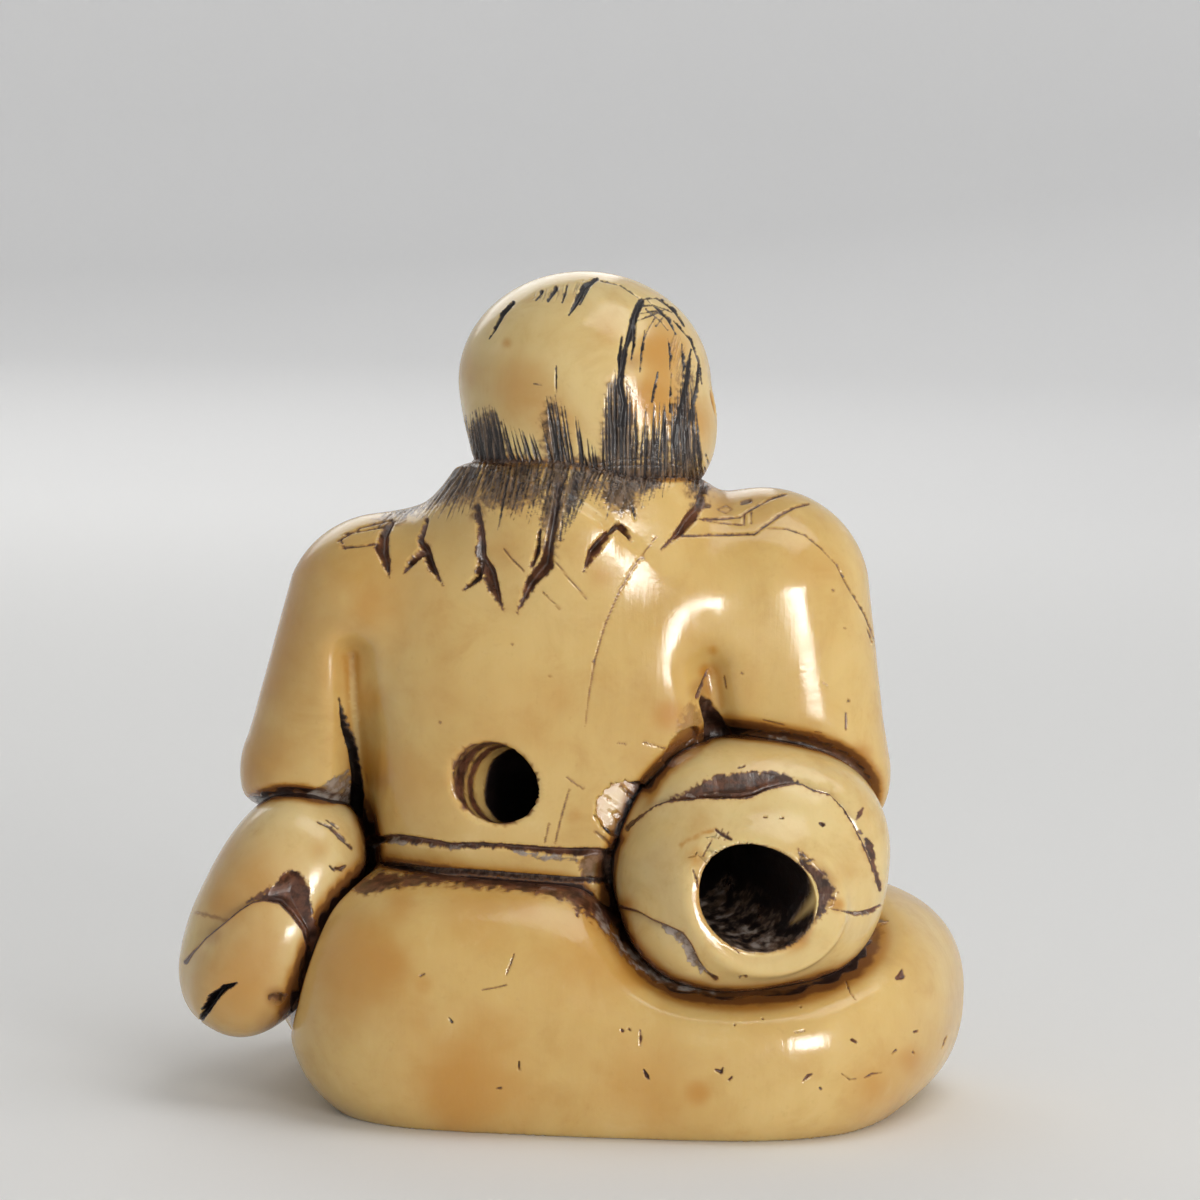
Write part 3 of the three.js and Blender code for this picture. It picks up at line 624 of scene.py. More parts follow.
def draw_lap():
    d = from_behind(255, 850, 990, 1140)
    amber = [
        (350, 960, 110, 0.8), (470, 1080, 120, 0.6), (600, 940, 90, 0.5), (640, 1100, 110, 0.5),
        (880, 1090, 70, 0.5), (480, 910, 70, 0.5), (700, 1093, 20, 0.8), (910, 1060, 26, 0.6),
        (385, 960, 30, 0.5), (425, 985, 14, 0.4), (600, 912, 26, 1.0), (640, 968, 30, 0.9),
        (820, 960, 30, 0.8), (460, 1090, 60, 0.4), (870, 1085, 26, 0.5), (740, 1000, 40, 0.35),
        (400, 900, 30, 0.6), (530, 905, 30, 0.5),
    ]
    shaded(d, amber=amber)
    under_sash = [
        (350, 888), (375, 872), (440, 872), (500, 876), (580, 882), (618, 884), (622, 915), (604, 934),
        (588, 914), (560, 899), (500, 889), (440, 885), (400, 887), (366, 896),
    ]
    d.patch(*under_sash, soft=3, rough=0.2, brown=0.9, ink=0.15, cuts=False)
    sash_dust = [(520, 884), (548, 889), (575, 893), (474, 877)]
    for x, y in sash_dust:
        d.stroke(
            (x - 14, y - 2, 2), (x, y, 4), (x + 15, y + 2, 2), soft=1.2, rough=0.12, grey=0.4, cuts=False,
        )
    (top_x, top_y), (low_x, low_y) = (582, 898), (578, 914)
    for i in range(7):
        over, down = 4 * i, 3 * i
        line = [(top_x + over, top_y + down, 3.5), (low_x + over, low_y + down, 1)]
        d.stroke(*line, rough=0.06, brown=0.8, cuts=False)
    # Dirt in the hollow round the right sleeve end: grey dust, and a brown band that is partly dirt, partly
    # painted shade
    hollow_left = [
        (596, 905, 6), (606, 930, 10), (624, 950, 11), (646, 969, 11), (668, 981, 11), (692, 989, 9),
        (712, 992, 7), (725, 992, 2),
    ]
    d.stroke(*hollow_left, soft=2, rough=0.12, grey=0.55, brown=0.6, cuts=False)
    hollow_right = [
        (712, 992, 7), (745, 993, 9), (780, 988, 9), (815, 975, 10), (845, 955, 9), (868, 936, 7),
        (884, 922, 3),
    ]
    d.stroke(*hollow_right, soft=3, rough=0.12, brown=0.65, cuts=False)
    hollow_dust = [(640, 968, 1.5), (660, 980, 3), (690, 990, 4), (712, 991, 2)]
    d.stroke(*hollow_dust, soft=1, rough=0.08, grey=0.9, cuts=False)
    hollow_end = [(872, 922, 4), (880, 920, 5), (888, 921, 2)]
    d.stroke(*hollow_end, depth=0.1, grey=0.5, ink=0.4)
    pits = [
        [(640, 1030, 1), (641, 1038, 3), (640, 1046, 1)],
        [(644, 1070, 2), (647, 1076, 4.5), (649, 1079, 2)],
        [(716, 1070, 3), (721, 1072, 5), (723, 1068, 2)],
        [(802, 1082, 1), (808, 1076, 3.5), (812, 1074, 1)], [(897, 978, 4), (901, 976, 8), (902, 970, 3)],
        [(519, 1062, 2), (519, 1070, 2)], [(497, 1089, 2), (501, 1088, 2)],
        [(449, 1018, 1.5), (452, 1022, 2.5)], [(842, 1074, 1), (850, 1080, 1.5), (856, 1079, 1)],
        [(865, 1078, 1.5), (872, 1074, 2), (882, 1073, 1)],
        [(506, 976, 1), (510, 966, 1.6), (514, 954, 1)], [(482, 990, 1), (494, 988, 1.4), (507, 985, 1)],
        [(846, 981, 1), (850, 992, 1.2), (856, 1000, 0.8)],
        [(942, 1048, 1), (945, 1040, 1.6), (947, 1036, 1)], [(795, 1033, 1), (805, 1031, 0.8)],
        [(914, 1032, 2), (918, 1031, 2)], [(892, 1054, 1), (896, 1050, 2)],
        [(622, 1030, 3), (623, 1031, 3)], [(629, 1029, 2.6), (630, 1030, 2.6)],
        [(729, 1080, 2), (732, 1077, 2)], [(734, 1024, 2), (735, 1025, 2)],
        [(577, 914, 2.6), (578, 916, 2.6)], [(800, 1006, 1.6), (801, 1007, 1.6)],
        [(420, 976, 2), (424, 974, 2)], [(852, 1040, 3), (856, 1042, 3)],
        [(762, 1018, 1.6), (763, 1019, 1.6)], [(913, 1052, 2), (914, 1053, 2)],
        [(820, 1088, 2), (821, 1089, 2)],
    ]
    for line in pits:
        d.stroke(*line, depth=0.16, soft=0.7, rough=0.02, brown=0.95)
    return d


def draw_right_end():
    d = from_behind(590, 720, 905, 1005)
    amber = [
        (650, 860, 50, 0.2), (700, 822, 24, 0.4), (698, 858, 18, 0.7), (625, 905, 16, 0.9),
        (850, 870, 24, 0.4), (838, 905, 14, 0.9), (800, 940, 14, 0.5), (760, 765, 30, 0.4),
    ]
    brown = [(625, 905, 9, 0.4)]
    shaded(d, amber=amber, brown=brown)
    edge = [
        (628, 828), (640, 815), (655, 804), (667, 800), (700, 797), (740, 797), (755, 794), (770, 787),
        (790, 782), (803, 783), (815, 789), (830, 793), (845, 808), (855, 825), (865, 845), (872, 862),
        (879, 884),
    ]
    d.fold(*edge, depth=0.6, reach=34, soft=0.9, rough=0.04, brown=1.0, ink=0.45)
    fold_mouth = [
        (657, 805), (662, 797), (680, 792), (690, 787), (705, 779), (715, 774), (730, 773), (755, 770),
        (775, 770), (792, 773), (803, 780), (790, 782), (770, 787), (755, 794), (740, 797), (700, 797),
        (667, 801),
    ]
    d.patch(*fold_mouth, depth=0.6, slope=1.1, soft=1.6, rough=0.1, brown=0.9)
    fold_ink = [
        [(716, 776, 2), (745, 775, 5), (780, 773, 3)], [(700, 784, 1), (730, 782, 3), (760, 780, 2)],
    ]
    for line in fold_ink:
        d.stroke(*line, rough=0.08, ink=0.5, cuts=False)
    fold_dust = [
        [(700, 792, 1), (715, 791, 3), (730, 793, 1)], [(682, 794, 1), (690, 793, 2.5), (697, 794, 1)],
    ]
    for line in fold_dust:
        d.stroke(*line, rough=0.08, grey=0.6, cuts=False)
    low_fold = [
        (716, 978), (705, 973), (697, 960), (690, 945), (682, 934), (667, 927), (652, 921), (636, 912),
        (617, 906),
    ]
    d.fold(*low_fold, depth=0.45, reach=30, soft=0.9, brown=0.9, ink=0.3)
    low_fold_dirt = [
        (652, 922), (670, 927), (684, 936), (691, 947), (698, 961), (712, 975), (700, 976), (689, 964),
        (681, 950), (676, 941), (664, 933),
    ]
    d.patch(*low_fold_dirt, depth=0.16, slope=0.9, soft=1.2, rough=0.08, grey=0.85, brown=0.4)
    marks = [
        [(842, 911, 2), (857, 914, 5), (871, 911, 5), (880, 905, 2)], [(826, 908, 1), (842, 911, 2)],
        [(876, 862, 4), (878, 880, 5), (880, 890, 3)], [(870, 838, 2), (873, 846, 7), (876, 858, 5)],
        [(860, 818, 2), (862, 812, 5), (864, 808, 2)], [(864, 830, 3), (866, 833, 3)],
        [(820, 823, 3), (823, 825, 4)], [(716, 830, 3), (722, 834, 5), (731, 839, 3)],
        [(718, 838, 1.5), (722, 829, 1.5)], [(724, 840, 1.5), (728, 832, 1.5)],
        [(712, 840, 1), (707, 848, 2), (703, 856, 1)], [(728, 944, 1), (735, 948, 2.4), (739, 953, 1)],
        [(740, 977, 2), (746, 976, 2)], [(738, 768, 1), (744, 766, 2)],
        [(764, 817, 1.5), (767, 817, 1.5)], [(780, 818, 2), (783, 818, 2)],
        [(693, 870, 1.5), (697, 880, 2), (698, 888, 1)],
    ]
    for line in marks:
        d.stroke(*line, depth=0.14, soft=0.7, brown=0.9)
    amber_streak = [(680, 845, 2), (700, 834, 4), (716, 830, 3)]
    d.stroke(*amber_streak, soft=3, rough=0.05, amber=1.0, cuts=False)
    side_dust = [(857, 914, 3), (868, 913, 4)]
    d.stroke(*side_dust, soft=1, rough=0.08, grey=0.8, cuts=False)
    # The hole's edge worn into a notch on the right by the cord
    notch = [
        (798, 850), (815, 866), (828, 880), (836, 893), (833, 906), (820, 917), (806, 926), (786, 936),
        (776, 930), (800, 890),
    ]
    d.patch(*notch, depth=0.9, slope=0.9, soft=3.2, rough=0.14, brown=1.0, ink=0.45)
    shaded(d, brown=[(818, 882, 30, 0.7), (800, 928, 20, 0.6)], amber=[(790, 940, 22, 0.8)])
    return d


def draw_left_end():
    d = from_behind(165, 800, 385, 1060)
    amber = [
        (250, 880, 100, 0.8), (240, 990, 100, 0.9), (222, 905, 26, 0.7), (320, 850, 18, 0.6),
        (340, 868, 10, 0.8), (250, 960, 30, 0.3),
    ]
    brown = [
        (240, 950, 90, 0.14), (212, 935, 16, 0.35), (277, 997, 16, 0.8), (270, 1028, 24, 0.4),
        (300, 1012, 14, 0.5),
    ]
    shaded(d, amber=amber, brown=brown)
    fold_edge = [
        (186, 962), (192, 952), (205, 937), (221, 924), (239, 909), (252, 901), (264, 899), (280, 902),
        (292, 914), (304, 930), (308, 946), (305, 965), (300, 980),
    ]
    d.fold(*fold_edge, depth=0.5, reach=34, soft=0.9, brown=0.95, ink=0.35)
    fold_mouth = [
        (258, 897), (266, 888), (276, 880), (288, 871), (300, 871), (308, 884), (312, 906), (322, 937),
        (316, 953), (309, 946), (304, 930), (292, 914), (280, 902),
    ]
    d.patch(*fold_mouth, depth=0.6, slope=1.1, soft=1.6, rough=0.1, brown=0.95)
    marks = [
        [(244, 900, 2), (258, 894, 5), (268, 888, 3)], [(300, 925, 1), (310, 940, 3), (318, 940, 2)],
        [(236, 984, 2), (230, 987, 3)], [(318, 822, 2), (330, 827, 4), (342, 839, 4), (352, 849, 2)],
        [(326, 820, 1), (338, 828, 3)], [(336, 868, 3), (341, 869, 5), (345, 866, 2)],
        [(330, 866, 2), (334, 870, 2)], [(305, 965, 2), (304, 980, 4), (300, 992, 2)],
        [(298, 1000, 2), (292, 1010, 3)],
    ]
    for line in marks:
        d.stroke(*line, depth=0.14, rough=0.04, brown=0.85)
    deep_gash = [(237, 983, 2), (225, 988, 7), (213, 998, 10), (206, 1010, 9), (200, 1021, 3)]
    d.stroke(*deep_gash, depth=0.7, rough=0.05, ink=1.0, brown=1.0)
    low_dirt = [(270, 997, 7), (283, 996, 8)]
    d.stroke(*low_dirt, depth=0.1, soft=3, rough=0.12, brown=0.85)
    side_dirt = [(196, 912, 2), (208, 915, 3), (222, 918, 2)]
    d.stroke(*side_dirt, soft=2, rough=0.08, brown=0.6)
    return d


def draw_face():
    """Lines of the face, across and up in the head's own millimetres."""
    d = Drawing((-7, -7), (7, 7), 0.03, 1.0)
    for side in (-1, 1):
        def cut(*line, **more):
            more = {"depth": 0.1, "soft": 0.04, "rough": 0.01, "brown": 0.85, **more}
            d.stroke(*((side * x, z, w) for x, z, w in line), **more)

        closed_lid = [
            (0.75, -0.98, 0.06), (1.2, -1.13, 0.12), (1.8, -1.17, 0.13), (2.4, -1.05, 0.1),
            (2.8, -0.86, 0.05),
        ]
        cut(*closed_lid, ink=0.6)
        lid_crease = [
            (0.7, -0.62, 0.04), (1.2, -0.3, 0.09), (1.9, -0.24, 0.1), (2.5, -0.42, 0.08),
            (2.9, -0.72, 0.04),
        ]
        cut(*lid_crease)
        under_eye = [(0.9, -1.45, 0.03), (1.6, -1.62, 0.06), (2.3, -1.5, 0.03)]
        cut(*under_eye, depth=0.05, brown=0.4)
        nostril = [(0.45, -2.32, 0.1), (0.62, -2.3, 0.14)]
        cut(*nostril, depth=0.16, ink=0.5)
        nose_side = [(0.95, -1.75, 0.04), (1.05, -2.1, 0.08), (0.9, -2.4, 0.04)]
        cut(*nose_side, depth=0.06, brown=0.5)
        for i in range(13):
            x = 0.75 + 0.17 * i
            z = 0.42 + 0.24 * math.sin(math.pi * i / 14)
            cut((x, z, 0.07), (x + 0.16, z + 0.16, 0.03), depth=0.05, ink=0.5, brown=0.6)
    mouth = [
        (-1.0, -3.2, 0.05), (-0.5, -3.3, 0.12), (0, -3.26, 0.13), (0.5, -3.3, 0.12), (1.0, -3.2, 0.05),
    ]
    d.stroke(*mouth, depth=0.14, soft=0.04, rough=0.01, brown=0.9, ink=0.3)
    under_lip = [(-0.4, -3.85, 0.05), (0, -3.9, 0.09), (0.4, -3.85, 0.05)]
    d.stroke(*under_lip, depth=0.05, soft=0.05, brown=0.35)
    return d


def draw_side_hair():
    """Hair round the head's sides: millimetres round from the back, and up from the skull's middle."""
    d = Drawing((-19, -7.5), (19, 6.5), 0.03, 1.0)
    rng = np.random.default_rng(21)
    root_line = [(2, -1.2), (5, -0.6), (7, 0.4), (8.6, 1.6), (10.2, 2.2), (11.4, 1.6), (12.2, 0.4)]
    tip_line = [(2.2, -5.6), (5, -5.8), (6.8, -6), (8, -6), (9.2, -5.6), (10.2, -4.8), (11, -3.2)]
    for side in (-1, 1):
        roots = [(side * x, z) for x, z in root_line]
        tips = [(side * x, z) for x, z in tip_line]
        for width, step in ((0.15, 0.11), (0.1, 0.1)):
            for share in np.arange(0.02, 0.98, step / 9):
                j = rng.uniform(-0.4, 0.4, 4)
                even = np.linspace(0, 1, len(roots))
                root, tip = ([np.interp(share, even, c) for c in zip(*line)] for line in (roots, tips))
                root[1] += j[0] * 1.6
                middle = ((root[0] + tip[0]) / 2 + 0.25 * side + j[1] * 0.2, (root[1] + tip[1]) / 2)
                w = width * (1 + j[2])
                d.stroke(
                    (*root, 0.03), (*middle, w), (*tip, w * 0.7), depth=0.09, soft=0.03, rough=0.01,
                    ink=0.8 + 0.4 * j[3],
                )
        d.patch(
            *[(x, z - 0.9) for x, z in roots], *reversed(tips), soft=0.35, rough=0.2, cuts=False,
            ink=0.42,
        )
    return d


def draw_front():
    """Robe lines in front, across and up in millimetres."""
    d = Drawing((-20, -1), (20, 30), 0.05, 1.0)
    kwargs = dict(depth=0.09, soft=0.05, rough=0.015, brown=0.8, ink=0.2)
    robe_lines = [
        [(-3.9, 27.4), (-2.9, 24.9), (0.1, 20.6), (3.6, 16.9)],
        [(-5.9, 27.2), (-4.9, 24.9), (-1.9, 20.6), (1.6, 16.7)], [(2.6, 27.6), (1.8, 24.9), (-0.2, 21.9)],
        [(4.6, 27.4), (3.8, 24.9), (1.6, 21.6)], [(2.2, 15.6), (1.6, 11), (1.6, 7.6)],
        [(-3.2, 15.4), (-2.5, 11), (-2.4, 7.6)], [(3.0, 15.4), (2.4, 11), (2.4, 7.6)],
        [(-4.0, 15.2), (-3.3, 11), (-3.2, 7.6)], [(-13, 2.2), (-8, 1.6), (-4, 1.0)],
        [(14, 2.0), (8, 1.3), (2, 0.8)],
    ]
    for line in robe_lines:
        d.stroke(*((x, z, 0.13) for x, z in line), **kwargs)
    for i in range(4):
        x = -4.6 + 1.05 * i
        d.stroke((x, 2.0, 0.08), (x + 0.1, 1.0, 0.14), (x + 0.1, 0.2, 0.08), **{**kwargs, "depth": 0.16})
    return d


# The head, from the middle of the skull
HEAD_AT, HEAD_TURN = (-0.5, 0.5, 33.0), (0, 0, -20)


def head_form():
    def both(*form):
        return [blob(*form), blob(*mirrored(form))]

    skull = blend(
        1.6,
        blob((0, -0.1, 0.1), (5.75, 5.7, 5.0)),
        blob((0, 1.9, -1.5), (4.6, 3.9, 4.3)),
        *both((2.1, 3.6, -2.2), (1.9, 1.7, 1.7)),
        blob((0, 4.1, -4.2), (2.0, 1.5, 1.3)),
    )
    brows = blend(
        0.5,
        *both((1.75, 4.75, 0.45), (1.7, 0.8, 0.5), (0, 12, -12)),
        *both((1.75, 4.55, -0.75), (1.05, 0.8, 0.6)),
    )
    bridge = limb((0, 5.1, 0.1), (0, 6.1, -1.9), (0.42, 0.6))
    nose = blend(0.3, bridge, *both((0.55, 5.5, -2.0), (0.5, 0.55, 0.42)))
    lips = blend(0.15, blob((0, 5.25, -3.0), (1.1, 0.55, 0.34)), blob((0, 5.15, -3.5), (0.95, 0.55, 0.38)))
    ears = both((5.0, 0.6, -1.4), (0.8, 1.2, 1.9), (10, 0, -12))
    bowls = both((5.75, 0.8, -1.0), (0.5, 0.55, 0.9), (10, 0, -12))
    whole = blend(0.5, skull, brows, nose, lips, *ears)
    return placed(lambda p: -soft_min(-whole(p), blend(0.2, *bowls)(p), 0.3), HEAD_AT, HEAD_TURN)


# Hair that falls from the head to the shoulders, as thick as the head behind and clear of the face in front
head = blend(1.0, head_form(), blob((-0.12, -0.35, 30.6), (5.5, 4.75, 3.7), n=2.3))

# Rolled sleeve ends behind the hips
right_end = blend(
    0.3,
    blob((7.8, -3.9, 11.9), (6.05, 5.0, 5.6), (0, 6, 0), 2.4),
    blob((7.2, -4.7, 11.0), (5.6, 5.5, 4.75), (0, -8, 0), 2.3),
)
left_end = blend(
    0.3,
    blob((-14.1, -1.2, 8.5), (3.4, 4.4, 6.0), (0, 25, 0), 2.4),
    blob((-14.4, -2.3, 7.2), (2.9, 4.3, 4.5), (0, 30, 0), 2.3),
)


def around_sleeve_ends(field, width):
    return nestled(nestled(field, right_end, 1.1, width), left_end, 0.6, 0.5)


def on_skin(field, x, y, z, way, depth=0.0):
    """The first point of a form met from far off along a way, or a little under it."""
    way = np.array(way, float)
    point = np.array([x, y, z], float) - 20 * way
    for _ in range(200):
        point = point + way * 0.6 * max(float(field(point[None].astype(F))[0]), 0.01)
    return point + way * depth


def behind_pixel(field, px, py, depth=0.0):
    """The point of a form that a pixel of the photograph shows."""
    c, s = math.cos(SIGHT_ROLL), math.sin(SIGHT_ROLL)
    dx, dz = (px - 600) / PIXELS_PER_MM, (600 - py) / PIXELS_PER_MM
    on_plane = SIGHT_TARGET + np.array([1.0, 0, 0]) * (dx * c - dz * s) + RISE * (dx * s + dz * c)
    way = (on_plane - EYE) / np.linalg.norm(on_plane - EYE)
    return on_skin(field, *(on_plane + 2 * way), way, depth)


def planed(field, centre, azimuth, elevation, radius):
    """Cut one flat facet, facing so many degrees round to the right of the viewer behind, and up."""
    a, e = math.radians(azimuth), math.radians(elevation)
    normal = np.array([math.sin(a) * math.cos(e), -math.cos(a) * math.cos(e), math.sin(e)], F)
    centre = np.array(centre, F)

    def cut(p):
        q = p - centre
        away = np.sqrt((q * q).sum(1))
        return -soft_min(-field(p), 2.5 * np.maximum(away - radius, 0) - q @ normal, 0.12)

    return cut


def body_form():
    trunk = blend(
        2.0,
        blob((0.1, 0.3, 22.3), (10.8, 5.9, 6.1), n=2.6),
        blob((-0.9, 0.6, 17.2), (9.6, 7.2, 10.2), n=2.6),
        blob((-0.6, 2.0, 13.5), (8.5, 6.6, 7.0), n=2.4),
    )
    right_arm = limb((7.9, 0.0, 23.6), (9.7, -0.7, 15.6), (4.9, 4.2))
    left_arm = limb((-9.3, 0.3, 22.1), (-12.2, 0.4, 14.9), (4.7, 3.6))
    long_hair = blend(
        0.8,
        blob((-0.15, -0.5, 26.3), (5.6, 4.9, 4.2), n=2.9),
        limb((-1.0, -0.7, 26.4), (-1.3, -0.9, 25.9), (5.5, 5.9)),
    )
    clothed = blend(1.2, blend(0.9, trunk, right_arm, left_arm), long_hair)
    under_head = nestled(clothed, head, 0.12, 0.3)
    right_sleeve = blend(
        2.0,
        limb((9.6, 0.8, 15.2), (3.6, 7.6, 12.9), (4.1, 3.4)),
        blob((8.0, 4.2, 10.6), (4.9, 4.6, 5.0), (0, 0, -35), 2.4),
        blob((4.1, 8.3, 10.0), (4.2, 3.7, 5.0), (-8, 8, -32), 2.5),
    )
    left_sleeve = blend(
        2.0,
        limb((-12.0, 1.8, 14.4), (-5.0, 7.6, 12.7), (3.5, 3.2)),
        blob((-9.4, 3.8, 10.4), (3.9, 4.4, 4.8), (0, 0, 35), 2.4),
        blob((-5.2, 8.1, 9.9), (4.1, 3.7, 4.9), (-8, -8, 32), 2.5),
    )
    field = around_sleeve_ends(blend(1.2, under_head, right_sleeve, left_sleeve), 0.6)
    for line, depth, width in [
        ([(-10.6, 20.6), (-10.3, 16.2), (-10.0, 12.6)], 1.3, 0.75),
        ([(5.4, 20.4), (5.9, 17.9)], 1.2, 0.9),
        ([(5.5, 20.8), (5.3, 22.0)], 0.25, 1.1),
    ]:
        field = carved_behind(field, line, depth, width)
    for line, depth, width in [
        ([(7.5, 17.5), (5.2, 14.6), (3.6, 11.5)], 0.5, 0.6),
        ([(12, 14.5), (8.6, 12.6), (6.2, 8.6)], 0.6, 0.7),
        ([(-8.5, 16.8), (-6.6, 14.2), (-5, 11.2)], 0.5, 0.6),
        ([(-14, 13.2), (-10.4, 11.6), (-7.6, 8.2)], 0.6, 0.7),
        ([(-0.5, 16), (-0.5, 5)], 1.2, 0.5),
    ]:
        field = carved_in_front(field, line, depth, width)
    facets = [(620, 806, 17.5, 4, 1.3, 0.2), (676, 742, 34, -14, 1.0, 0.12), (650, 782, 38, -10, 0.7, 0.1)]
    for px, py, azimuth, elevation, radius, depth in facets:
        field = planed(field, behind_pixel(field, px, py, depth), azimuth, elevation, radius)
    chest = field
    lapels = []
    for line, radius in (
        ([(3.6, 27.8), (2.8, 25), (0.6, 21.6), (-1, 19.8)], 0.9),
        ([(-4.9, 27.7), (-3.9, 25), (-0.9, 20.8), (2.6, 17.2), (4.6, 15.4)], 1.0),
    ):
        corners = np.array(line)
        halved = [a * (1 - t) + b * t for a, b in zip(corners, corners[1:]) for t in (0, 0.5)] + [corners[-1]]
        path = [on_skin(chest, x, 14, z, (0, -1, 0), 0.5) for x, z in halved]
        lapels.append(blend(0.3, *(limb(a, b, (radius, radius)) for a, b in zip(path, path[1:]))))
    return blend(0.12, chest, *lapels)


def lap_form():
    legs = blend(
        2.4,
        blob((-4.2, -2.4, 5.1), (9.0, 7.4, 6.6), n=2.5),
        blob((5.4, -3.0, 3.4), (8.6, 6.6, 4.6), n=2.6),
        blob((10.9, 1.6, 4.6), (6.8, 9.0, 5.5), (0, 0, -16), 2.4),
        blob((-7.2, 4.2, 5.0), (6.9, 7.6, 5.4), (0, 0, 24), 2.4),
        blob((1.5, 1.5, 2.5), (12.0, 9.0, 4.5), n=2.6),
        limb((11.5, 5.0, 4.0), (-1.5, 9.6, 3.2), (4.4, 3.5)),
        limb((-8.5, 6.0, 4.6), (3.0, 8.4, 5.4), (4.2, 3.0)),
    )
    field = around_sleeve_ends(legs, 1.1)
    for line, depth, width in [
        ([(-13, 6.5), (-8, 6.6), (-3, 4.4), (5, 2.4)], 0.5, 0.7),
        ([(16, 6.8), (9, 5.6), (2, 3.6), (-6, 1.6)], 0.6, 0.7),
        ([(17, 3.2), (10, 2.4), (2, 1.2)], 0.4, 0.6),
        ([(-12, 2.6), (-6, 2.6), (-1, 1.6)], 0.4, 0.6),
    ]:
        field = carved_in_front(field, line, depth, width)
    foot = blob((-2.6, 11.2, 1.7), (3.4, 2.6, 1.6), (0, 4, 16), 2.2)
    whole = blend(0.4, field, foot)

    def up_to_sash(p):
        """Behind, the lap stops at the sash's lower groove."""
        room = 10.95 - 0.0244 * (p[:, 0] + 2.1) - p[:, 2] + 6 * np.maximum(p[:, 1] - 1, 0)
        return -soft_min(-whole(p), room, 0.5)

    return up_to_sash


body = body_form()
lap = lap_form()

# The cord tunnel: two bores from the back that meet inside the body
MEETING = np.array((0.8, 1.5, 13.6))
SMALL_MOUTH, LARGE_MOUTH = np.array((-4.1, -6.4, 15.5)), np.array((7.9, -9.9, 11.1))
small_bore, large_bore = bore(SMALL_MOUTH, MEETING, 1.75), bore(LARGE_MOUTH, MEETING, 2.3)


def along_bore(p, mouth, shift=(0, 0, 0)):
    """Points seen from a bore's mouth or beside it, and how far they lie along it and off its axis."""
    axis = (MEETING - mouth) / np.linalg.norm(MEETING - mouth)
    q = p - (mouth + shift).astype(F)
    far = q @ axis.astype(F)
    return q, far, np.sqrt(np.maximum((q * q).sum(1) - far * far, 0))


def lipped(field):
    """Raise a rounded lip round the lower left of the large hole."""

    def raised(p):
        q, _, off = along_bore(p, LARGE_MOUTH, (0.5, 0, 0))
        low = np.clip(0.8 - (0.9 * q[:, 2] + 0.3 * q[:, 0]) / 3.0, 0, 1)
        return field(p) - 0.32 * low * np.exp(-((off - 3.35) / 0.45) ** 2)

    return raised


right_end = lipped(right_end)


def finished(field):
    """Stand a form on the flat base and drill it, with a softly worn edge to the holes."""
    def drilled(p):
        return -soft_min(-np.maximum(field(p), -p[:, 2]), np.minimum(small_bore(p), large_bore(p)), 0.22)

    return drilled


FORMS = {"head": head, "body": body, "lap": lap, "right_sleeve_end": right_end, "left_sleeve_end": left_end}
UNDRILLED, FORMS = FORMS, {name: finished(field) for name, field in FORMS.items()}

# A grid over the whole figure, for finding each form's skin and for telling hollows from bumps
GRID_STEP = 0.42
GRID_LOW = np.array([-19.2, -11.2, -1.1])
GRID_SHAPE = np.ceil((np.array([19.2, 14.9, 39.3]) - GRID_LOW) / GRID_STEP).astype(int)


def sampled(field):
    """The field on the grid: coarse blocks first, and only blocks near the skin in full."""
    nx, ny, nz = GRID_SHAPE
    values = np.full((nx, ny, nz), 9.0, F)
    block = 6
    firsts = [np.arange(0, n, block) for n in GRID_SHAPE]
    corners = np.stack(np.meshgrid(*firsts, indexing="ij"), -1).reshape(-1, 3)
    middles = (GRID_LOW + (corners + block / 2) * GRID_STEP).astype(F)
    rough = field(middles)
    reach = block * GRID_STEP * 0.9 + 1.2
    for corner, value in zip(corners, rough):
        i, j, k = corner
        part = values[i:i + block, j:j + block, k:k + block]
        part[...] = value
    near = corners[np.abs(rough) < reach]
    offsets = np.stack(np.meshgrid(*(np.arange(block),) * 3, indexing="ij"), -1).reshape(-1, 3)
    for start in range(0, len(near), 400):
        index = (near[start:start + 400, None, :] + offsets).reshape(-1, 3)
        index = index[(index < GRID_SHAPE).all(1)]
        values[tuple(index.T)] = field((GRID_LOW + index * GRID_STEP).astype(F))
    return values


def read_grid(values, p):
    """The grid's value at any points, by weighting the eight nearest samples."""
    c = np.clip((p - GRID_LOW) / GRID_STEP, 0, GRID_SHAPE - 1.001)
    base = c.astype(int)
    f = (c - base).astype(F)
    total = np.zeros(len(p), F)
    for dx, dy, dz in itertools.product((0, 1), repeat=3):
        weight = np.abs(1 - dx - f[:, 0]) * np.abs(1 - dy - f[:, 1]) * np.abs(1 - dz - f[:, 2])
        total += weight * values[base[:, 0] + dx, base[:, 1] + dy, base[:, 2] + dz]
    return total


